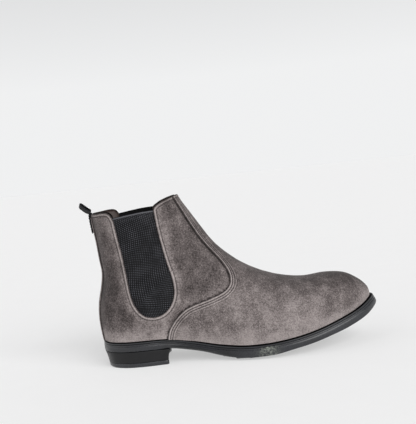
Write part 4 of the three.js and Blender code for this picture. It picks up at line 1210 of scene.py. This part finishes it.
WEBBING_THICK = 1.3
TAB_WIDTH, TAB_LEG, TAB_LOOP = 18.0, 20.0, 14.0  # TAB_LEG is sewn down the back, TAB_LOOP stands free
TAB_LEAN = math.radians(48)    # how far the loop leans back from upright
LEG_TOP, PIVOT_RISE = 166.0, 2.6
LOOP_SHAPE = [(0, 0.8), (3, 0.9), (6, 1.0), (9.5, 1.0), (12, 0.85)]  # height in the loop, half its gap
LOOP_OFFSET = (1.5, 0.1)       # from the pivot to the foot of the loop
LOOP_TWIST = math.radians(20)
LEG_HEIGHTS = (LEG_TOP - TAB_LEG + 1.5, LEG_TOP - 0.5)
LEG_LIFTS = (0.47, 1.23)       # of the inner and the outer leg over the back strip


def twisted(points, pivot, lean):
    """The loop turned a little about the line it leans along, more and more above its foot."""
    flat = (points[..., [0, 2]] - pivot) @ lean
    turn = LOOP_TWIST * smoothstep(flat[..., 1], -4.2, -0.4)
    off, across = flat[..., 0].copy(), points[..., 1]
    flat[..., 0] = off * np.cos(turn) - across * np.sin(turn)
    made = flat @ lean.T + pivot
    return np.stack([made[..., 0], off * np.sin(turn) + across * np.cos(turn), made[..., 1]], -1)


def tab_path(pivot, lean):
    """The webbing's middle line from the side: up the inner leg, round the loop, down the outer leg."""
    loop = [(b, a) for a, b in LOOP_SHAPE] + [(0, TAB_LOOP - WEBBING_THICK / 2)]
    loop += [(-b, a) for a, b in LOOP_SHAPE[::-1]]
    loop = (lean @ np.array(loop).T).T + pivot + LOOP_OFFSET
    heights = np.linspace(*LEG_HEIGHTS, 12)
    inner, outer = (np.stack([back_x(heights) - UPPER - lift, heights], 1) for lift in LEG_LIFTS)
    outer = np.vstack([outer[::-1], outer[0] + [0.1, -1.5]])
    return resample(catmull(np.vstack([inner, loop, outer]), 12, power=0.5), 0.55)


def make_tab():
    """One webbing in two legs that follow the back's curve and a loop that leans back, a little twisted."""
    pivot = np.array([back_x(LEG_TOP) - 1.6 - WEBBING_THICK, LEG_TOP + PIVOT_RISE])
    cos, sin = math.cos(TAB_LEAN), math.sin(TAB_LEAN)
    lean = np.array([[cos, -sin], [sin, cos]])
    path = tab_path(pivot, lean)
    share = np.linspace(-1, 1, 25)
    across = share * TAB_WIDTH / 2
    legs = np.linspace(LEG_TOP - TAB_LEG - 1, LEG_TOP + 6, 30)
    back, _ = back_surface(legs, across)
    dip = back[:, :, 0] - back_x(legs)[:, None]
    along = unit(np.gradient(path, axis=0))
    normal = np.stack([-along[:, 1], along[:, 0]], 1)
    up = np.clip(path[:, 1], legs[0], legs[-1])
    above = (path - pivot) @ lean[:, 1]
    fade = 1 - smoothstep(above, -4, 5)[:, None]
    forward = np.stack([np.interp(up, legs, column) for column in dip.T], 1) * fade
    y = np.stack([np.interp(up, legs, column) for column in back[:, :, 1].T], 1)
    y = y * fade + across * (1 - fade)
    pressed = 0.55 + 0.45 * smoothstep(above, -3, 3)
    half = WEBBING_THICK / 2 * pressed[:, None] * np.sqrt(np.clip(1 - np.abs(share) ** 14, 0.02, 1))
    face = []
    for k in (1, -1):
        x = path[:, 0, None] + forward + normal[:, 0, None] * half * k
        z = path[:, 1, None] + normal[:, 1, None] * half * k
        face.append(twisted(np.stack([x, y, z], -1), pivot, lean))
    points, faces = grid_solid(*face)
    cloth = np.stack(np.broadcast_arrays(along_of(path)[:, None], across[None, :], 0.0), -1).reshape(-1, 3)
    tab = add_piece("pull_tab_webbing", points, faces, WEBBING, "webbing", ["pull_tab_leg", "pull_tab_loop"],
                    body=None, weave=np.concatenate([cloth, cloth]))
    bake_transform(tab)


def make_tab_stitches():
    """A box of stitching on the legs, with a second row at its foot."""
    rows = []
    for z in (LEG_TOP - TAB_LEG + 2.2, LEG_TOP - TAB_LEG + 4.4, LEG_TOP - 3.2):
        p, n = back_surface([z, z + 0.1], np.linspace(-7.6, 7.6, 40))
        rows.append((p[0], n[0]))
    for side in (-7.4, 7.4):
        heights = np.linspace(LEG_TOP - TAB_LEG + 2.5, LEG_TOP - 3, 40)
        p, n = back_surface(heights, np.array([side * 0.99, side]))
        rows.append((p[:, 1], n[:, 1]))
    surface_stitches("pull_tab_stitching", rows, BLACK_THREAD, UPPER + 1.6, "webbing")


# ---------------------------------------------------------------- the bottom

HALF_STEPS = 110  # points along each half of the footprint
WOVEN = 12        # points across a slab's top and bottom
RECESS = 1.2      # depth of the welt's recess under the upper


def sole_point(xy, depth):
    """Points under the feather line: a depth below it, square to it."""
    x, y = xy[..., 0], xy[..., 1]
    slope = feather_height(x + 0.5) - feather_height(x - 0.5)
    length = np.hypot(1, slope)
    return np.stack([x + depth * slope / length, y, feather_height(x) - depth / length], -1)


def ringed(profile):
    """The rings of a solid that follows the footprint, and the depth of each.

    profile(x, margin) gives its section as (outward distance, depth), from the inside of the top, over
    the edge, to the inside of the bottom. margin is how far the welt stands out."""
    lateral, medial = (footprint.half(side, HALF_STEPS) for side in (-1, 1))
    loop, out = (np.concatenate([a, b[-2:0:-1]]) for a, b in zip(lateral, medial))
    x = loop[:, 0]
    section = [(distance, np.broadcast_to(depth, x.shape)) for distance, depth in profile(x, welt_margin(x))]
    rings = [sole_point(loop + out * np.reshape(distance, (-1, 1)), depth) for distance, depth in section]
    return rings, np.concatenate([depth for _, depth in section])


def make_ring(name, profile, material, slot, replaces):
    """A closed ring of the footprint's outline, painted black as shadow where it lies in the recess under the
    upper's edge.
    """
    rings, depths = ringed(profile)
    faces = [f[::-1] for f in tube_faces(len(rings), len(rings[0]), closed_rows=True)]
    # Painted shadow: the points in the recess under the upper are painted black.
    shade = np.where(depths < RECESS, -1.0, 0.0)
    add_piece(name, np.concatenate(rings), faces, material, slot, replaces, shade=shade)


def woven(ring, first, start):
    """Points and faces that fill one ring, whose points begin at first; the new points begin at start."""
    m, n = HALF_STEPS, len(ring)
    across = np.linspace(0, 1, WOVEN)[None, 1:-1, None]
    lateral, medial = np.arange(m + 1), np.concatenate([[0], np.arange(n - 1, m, -1), [m]])
    ids = np.zeros((m + 1, WOVEN), int)
    ids[:, 0], ids[:, -1] = lateral + first, medial + first
    ids[:, 1:-1] = start + np.arange((m + 1) * (WOVEN - 2)).reshape(m + 1, WOVEN - 2)
    ids[0], ids[m] = ids[0, 0], ids[m, 0]
    faces = []
    for i in range(m):
        for j in range(WOVEN - 1):
            corners = (ids[i, j], ids[i + 1, j], ids[i + 1, j + 1], ids[i, j + 1])
            faces.append(tuple(dict.fromkeys(corners)))
    points = ring[lateral][:, None] * (1 - across) + ring[medial][:, None] * across
    return points.reshape(-1, 3), [face for face in faces if len(face) > 2]


def make_slab(name, profile, material, slot, replaces, extra=None, tone=None):
    """A slab of the footprint's outline, its top and bottom woven across between the two halves."""
    rings, _ = ringed(profile)
    n = len(rings[0])
    points = np.concatenate(rings)
    faces = [f[::-1] for f in tube_faces(len(rings), n)]
    for ring, turn in ((0, 1), (len(rings) - 1, -1)):
        filling, more = woven(rings[ring], ring * n, len(points))
        points = np.concatenate([points, filling])
        faces += [face[::turn] for face in more]
    if extra:
        faces += [tuple(k + len(points) for k in face) for face in extra[1]]
        points = np.concatenate([points, extra[0]])
    shade = tone(points) if tone else np.zeros(len(points))
    add_piece(name, points, faces, material, slot, replaces, shade=shade)


def welt_profile(x, margin):
    """The welt: a recess under the upper's edge, then a wall flush with the sole's edge."""
    inner = np.full(len(x), -9.0)
    return [(inner, 0.0), (inner + 7, 0.0), (margin * 0.35, 0.0), (margin - 1.4, 0.0), (margin - 0.95, 0.15),
            (margin - 0.8, 0.4), (margin - 0.8, 0.95), (margin - 0.5, 1.15), (margin - 0.15, 1.25),
            (margin - 0.02, 1.45), (margin, 1.7), (margin, WELT - 0.4), (margin - 0.12, WELT - 0.12),
            (margin - 0.5, WELT), (margin - 1.5, WELT), (inner, WELT)]


def outsole_profile(x, margin):
    """The sole's edge: a groove under the welt, a gently bellied wall, and a bevel that grows at the waist.

    Its underside is a rim round a recess, from which the lugs stand."""
    ball = 2.2 * smoothstep(x, 112, 140) * (1 - 0.7 * smoothstep(x, 180, 208))
    top, bottom = WELT + 0.25, SOLE_EDGE + ball + 0.8 * smoothstep(x, 236, 262)
    waist = smoothstep(x, 62, 84) * (1 - smoothstep(x, 128, 156))
    bevel = 0.9 + 3.4 * waist + 2.5 * smoothstep(x, 282, 300)
    recess = bottom - 2.8 * smoothstep(x, 116, 124)
    wall = ((-4, 0), (-0.8, 0), (-0.35, 0.12), (-0.1, 0.5), (0, 1.0), (-0.05, 1.5), (-0.5, 1.8), (-0.5, 2.05),
            (-0.02, 2.4), (0.1, 3.4), (0.05, 4.6))
    rounding = ((0.02, 0.95), (0.2, 0.55), (0.55, 0.2), (1, 0))
    return [*((margin + out, top + down) for out, down in wall),
            *((margin - bevel * out, bottom - bevel * up) for out, up in rounding),
            (margin - bevel - 3.2, bottom), (margin - bevel - 4.2, recess), (margin - bevel - 5.5, recess)]


def footbed_profile(x, margin):
    """The sock lining: a thin slab inside the upper with a rolled edge, above the feather line."""
    rim = -6.6
    return [(rim + out, np.full(len(x), depth)) for out, depth in
            ((-6, -5.4), (-2, -5.5), (-0.6, -5.8), (0, -5.4), (0, -3.9), (-0.5, -3.5), (-4, -3.4))]


def scuff_and_painted_shade(points):
    """The sole's tone: a worn, dusty place on the lateral edge at the ball, and painted shade that darkens
    the waist.
    """
    x = points[:, 0]
    waist = smoothstep(x, 74, 90) * (1 - smoothstep(x, 130, 160))
    return (points[:, 1] < 0) * np.exp(-(((x - 178) / 8) ** 2)) - 0.3 * waist


TREAD_START, TREAD_END, TREAD_PITCH = 126, 280, 13  # rows of lugs along the sole
LUG_LENGTH, LUG_WIDTH = 8.6, 11
LUG_INSET = 11      # from the sole's edge to the outer lugs
LUG_ROOT = 12.1     # depth of the lugs' feet where they end flush with the rim
LUG_RADIUS = 1.4
CORNERS = ((1, 1, 0), (-1, 1, 90), (-1, -1, 180), (1, -1, 270))


def lug_depth(x):
    """How deep the lugs reach: to the ground under the ball, flush with the rim further on."""
    under_ball = smoothstep(x, 124, 151) * (1 - smoothstep(x, 176, 200))
    return LUG_ROOT + (SOLE_EDGE + LUG - LUG_ROOT) * under_ball


def lug(x, y0, y1, length, skew=0.0):
    """A block of the tread with drafted walls and rounded edges, cut level by the ground."""
    middle, half = (y0 + y1) / 2, (y1 - y0) / 2
    foot = float(lug_depth(x))
    rings = []
    levels = ((8.6, -0.4), (10, -0.3), (foot - 1.2, 0), (foot - 0.5, 0.25), (foot - 0.15, 0.55), (foot, 1))
    for depth, inset in levels:
        reach_x, reach_y = length / 2 - inset - LUG_RADIUS, half - inset - LUG_RADIUS
        outline = []
        for along, across, first in CORNERS:
            for angle in np.radians(first + np.array([0, 30, 60, 90])):
                px = along * reach_x + LUG_RADIUS * math.cos(angle)
                py = across * reach_y + LUG_RADIUS * math.sin(angle)
                outline.append((x + px + skew * math.copysign(1, py), middle + py))
        ring = sole_point(np.array(outline), depth)
        ring[:, 2] = np.maximum(ring[:, 2], 0.02 * (foot - depth))
        rings.append(ring)
    faces = tube_faces(len(rings), len(rings[0]))
    last = (len(rings) - 1) * len(rings[0])
    faces += [tuple(range(len(rings[0])))[::-1], tuple(range(last, last + len(rings[0])))]
    points = np.concatenate(rings)
    a, b, c = (points[k] for k in faces[0][:3])
    if np.cross(b - a, c - a) @ (a - points.mean(0)) < 0:
        faces = [face[::-1] for face in faces]
    return points, faces


def lug_row(x, turn):
    """The lugs of one row: one at each edge and a cross between them, or one alone where it is narrow."""
    at = min(x + LUG_LENGTH / 2, TOE_TIP - 1)
    inset = LUG_INSET - float(welt_margin(at))
    lateral, medial = float(footprint.y(at, -1)) + inset, float(footprint.y(at, 1)) - inset
    half = (medial - lateral) / 2
    length = LUG_LENGTH + 3 * (1 - float(smoothstep(x, 180, 200)))
    if half < LUG_WIDTH + 2:
        return [lug(x, lateral, medial, length)]
    row = [lug(x, lateral, lateral + LUG_WIDTH, length, 1.2),
           lug(x, medial - LUG_WIDTH, medial, length, -1.2)]
    room = half - LUG_WIDTH - 4
    if room >= 4:
        middle = (lateral + medial) / 2 + room * 0.2 * turn
        row.append(lug(x, middle - room * 0.7, middle + room * 0.7, 3.8))
        row.append(lug(x, middle - 2, middle + 2, LUG_LENGTH))
    return row


def tread():
    """Every lug, as one set of points and faces."""
    points, faces, count = [], [], 0
    for row, x in enumerate(range(TREAD_START, TREAD_END + 1, TREAD_PITCH)):
        for p, f in lug_row(x, 1 if row % 2 else -1):
            points.append(p)
            faces += [tuple(k + count for k in face) for face in f]
            count += len(p)
    return np.concatenate(points), faces


HEEL_TOP = float(feather_height(30)) - SOLE_EDGE
HEEL_CORNER = 3.5     # radius of the corners at the breast
HEEL_HOLLOW = 4.5     # how far the breast curves in
HEEL_POINTS = 150
CAP_SHARES = (0.9, 0.72, 0.45, 0.2)  # the rings that close a heel layer, as shares of its outline


def heel_outline():
    """The heel seen from below: round behind, straight at the sides, rounded corners and a hollow breast."""
    front = HEEL_BREAST - HEEL_CORNER
    edges = []
    for side in (1, -1):
        points, normals = footprint.halves[side]
        edge = points + normals * welt_margin(points[:, 0])[:, None]
        edge = edge[edge[:, 0] < front]
        edges.append(edge if side < 0 else edge[::-1])
    outline = np.vstack(edges)  # from the medial breast, round the back, to the lateral breast
    y0, y1 = outline[-1, 1], outline[0, 1]
    turn = np.radians(np.linspace(0, 90, 7))
    sin, cos = HEEL_CORNER * np.sin(turn), HEEL_CORNER * np.cos(turn)
    lateral = np.stack([front + sin, y0 + HEEL_CORNER - cos], 1)
    medial = np.stack([front + cos, y1 - HEEL_CORNER + sin], 1)
    ys = np.linspace(y0 + HEEL_CORNER, y1 - HEEL_CORNER, 24)
    hollow = np.stack([HEEL_BREAST - HEEL_HOLLOW * np.cos((ys - (y0 + y1) / 2) / (y1 - y0) * math.pi), ys], 1)
    whole = np.vstack([outline, lateral[1:], hollow, medial[1:-1], outline[:1]])
    return resample(whole, along_of(whole)[-1] / HEEL_POINTS)[:-1]


def heel_level(outline, z, inset):
    """The heel's outline at a height, tapered towards the ground."""
    z = np.broadcast_to(z, len(outline)).astype(float)
    down = np.clip(1 - z / HEEL_TOP, 0, 1)
    share = (outline[:, 0] - SOLE_BACK) / (HEEL_BREAST - SOLE_BACK)
    breast = 3.3 * down + 1.7 * np.sin(math.pi * down) - 2.4
    taper = 3.8 * down * (1 - share) - breast * share
    along = unit(np.roll(outline, -1, 0) - np.roll(outline, 1, 0))
    out = np.stack([along[:, 1], -along[:, 0]], 1)
    if ((outline - outline.mean(0)) * out).sum() < 0:
        out = -out
    belly = np.sin(math.pi * down) * 0.7 * (1 - share)
    xy = outline - out * (inset + belly)[:, None]
    return np.stack([xy[:, 0] + taper, xy[:, 1] * (1 - 0.06 * down), z], 1)


def heel_layer(name, levels, material, slot, replaces):
    """A heel layer from (height, inset) levels, bottom first, closed by rings that shrink to the middle."""
    outline = heel_outline()
    n = len(outline)
    rings = [heel_level(outline, z, inset) for z, inset in levels]
    middle = np.array([36.0, 0.0])
    bottom, top = ([np.column_stack([middle + (ring[:, :2] - middle) * k, ring[:, 2]]) for k in CAP_SHARES]
                   for ring in (rings[0], rings[-1]))
    rows = bottom[::-1] + rings + top
    points = np.concatenate(rows)
    faces = tube_faces(len(rows), n)
    last = (len(rows) - 1) * n
    faces += [tuple(range(n))[::-1], tuple(range(last, last + n))]
    a, b, c = (points[k] for k in faces[len(bottom) * n][:3])
    if np.cross(b - a, c - a) @ (rings[0][0] - rings[0].mean(0)) < 0:
        faces = [face[::-1] for face in faces]
    add_piece(name, points, faces, material, slot, replaces, shade=np.zeros(len(points)))


def make_heel():
    under = feather_height(heel_outline()[:, 0]) - SOLE_EDGE - 0.25
    lift = [(0.0, 1.1), (0.25, 0.5), (0.8, 0.1), (2.4, 0.0), (TOP_LIFT - 0.5, 0.0), (TOP_LIFT - 0.1, 0.35)]
    heel_layer("top_lift_rubber", lift, RUBBER, "outsole_rubber", ["top_lift"])
    foot = TOP_LIFT + 0.3
    wall = [(foot + (under - foot - 0.7) * k, 0.0) for k in np.linspace(0, 1, 9)]
    block = [(TOP_LIFT + 0.05, 0.5), *wall, (under - 0.25, 0.2), (under - 0.02, 0.8)]
    heel_layer("heel_block_stacked", block, HEEL_STACK, "heel_stack", ["heel_block"])


def make_bottom():
    make_ring("welt_strip", welt_profile, WELT_RUBBER, "welt", ["welt"])
    make_slab("outsole_lugged", outsole_profile, RUBBER, "outsole_rubber", ["outsole"], tread(), scuff_and_painted_shade)
    make_heel()
    make_slab("footbed_leather", footbed_profile, INSOCK, "footbed", ["footbed"])


# ---------------------------------------------------------------- the rest of the scene


def finish_hidden_nodes():
    """The pieces inside the bottom and the toe keep their CAD shape and get their own finishes."""
    looks = {"toe_puff": STIFFENER, "heel_counter": STIFFENER, "heel_pad": FOAM, "insole_board": BOARD,
             "bottom_filler": CORK, "shank": STEEL, "heel_screw": STEEL}
    looks.update({f"heel_nail_{k}": STEEL for k in (1, 2, 3, 4)})
    for name, material in looks.items():
        node = frame["nodes"][name]
        node.data.materials.clear()
        node.data.materials.append(material)


FLOOR_HALF = 14.0     # metres
CAMERA_AT = [130.48, -798.42, 206.06]
LENS, SENSOR = 62.07, 36
CAMERA_DOWN, CAMERA_ROLL = 3.6, 6  # degrees


def make_floor():
    h = FLOOR_HALF
    mesh = bpy.data.meshes.new("floor")
    mesh.from_pydata([(-h, -h, 0), (h, -h, 0), (h, h, 0), (-h, h, 0)], [], [(0, 1, 2, 3)])
    floor = bpy.data.objects.new("floor", mesh)
    bpy.context.scene.collection.objects.link(floor)
    n = Nodes("floor_pale")
    colour = n.mix(n.noise(40, 2.0), (0.5, 0.5, 0.5), (0.52, 0.52, 0.52))
    mesh.materials.append(n.finish(colour, 0.9, Specular_IOR_Level=0.05, Emission_Color=(1, 1, 0.995, 1),
                                   Emission_Strength=0.44))


def make_world():
    """A studio that is pale at the horizon and darker overhead."""
    world = bpy.data.worlds.new("studio")
    bpy.context.scene.world = world
    world.use_nodes = True
    tree = world.node_tree
    background = tree.nodes["Background"]
    where, split, ramp = (tree.nodes.new("ShaderNode" + kind)
                          for kind in ("TexCoord", "SeparateXYZ", "ValToRGB"))
    tree.links.new(where.outputs["Generated"], split.inputs["Vector"])
    tree.links.new(split.outputs["Z"], ramp.inputs["Fac"])
    tree.links.new(ramp.outputs["Color"], background.inputs["Color"])
    stops = ((0.12, (0.87, 0.875, 0.88, 1)), (0.7, (0.3, 0.3, 0.31, 1)))
    for element, (position, colour) in zip(ramp.color_ramp.elements, stops):
        element.position, element.color = position, colour
    background.inputs["Strength"].default_value = 1.0


def make_sun(name, azimuth, elevation, strength, spread):
    """A soft light from afar. Azimuth 0 comes from the camera's side, -y, and 90 from the toe's."""
    light = bpy.data.lights.new(name, "SUN")
    light.energy, light.angle = strength, math.radians(spread)
    lamp = bpy.data.objects.new(name, light)
    bpy.context.scene.collection.objects.link(lamp)
    a, e = math.radians(azimuth), math.radians(elevation)
    towards = Vector((math.sin(a) * math.cos(e), -math.cos(a) * math.cos(e), math.sin(e)))
    lamp.rotation_euler = towards.to_track_quat("Z", "Y").to_euler()


def make_camera():
    """The photo's view, from the lateral side and a little above, rolled as the photo is."""
    data = bpy.data.cameras.new("camera")
    data.lens, data.sensor_width = LENS, SENSOR
    camera = bpy.data.objects.new("camera", data)
    bpy.context.scene.collection.objects.link(camera)
    down, roll = math.radians(CAMERA_DOWN), math.radians(CAMERA_ROLL)
    back = Vector((0, -math.cos(down), math.sin(down)))
    right, up = Vector((1, 0, 0)), Vector((0, math.sin(down), math.cos(down)))
    x = right * math.cos(roll) - up * math.sin(roll)
    y = right * math.sin(roll) + up * math.cos(roll)
    turn = Matrix((x, y, back)).transposed().to_4x4()
    camera.matrix_world = Matrix.Translation(Vector(place(CAMERA_AT))) @ turn
    data.clip_start, data.clip_end = 0.01, 100
    bpy.context.scene.camera = camera
    bpy.context.scene.view_settings.view_transform = "Standard"


make_upper()
make_tab()
make_tab_stitches()
make_bottom()
finish_hidden_nodes()
make_floor()
make_world()
make_sun("key", 35, 30, 2.2, 50)
make_sun("fill", -75, 15, 0.7, 80)
make_camera()
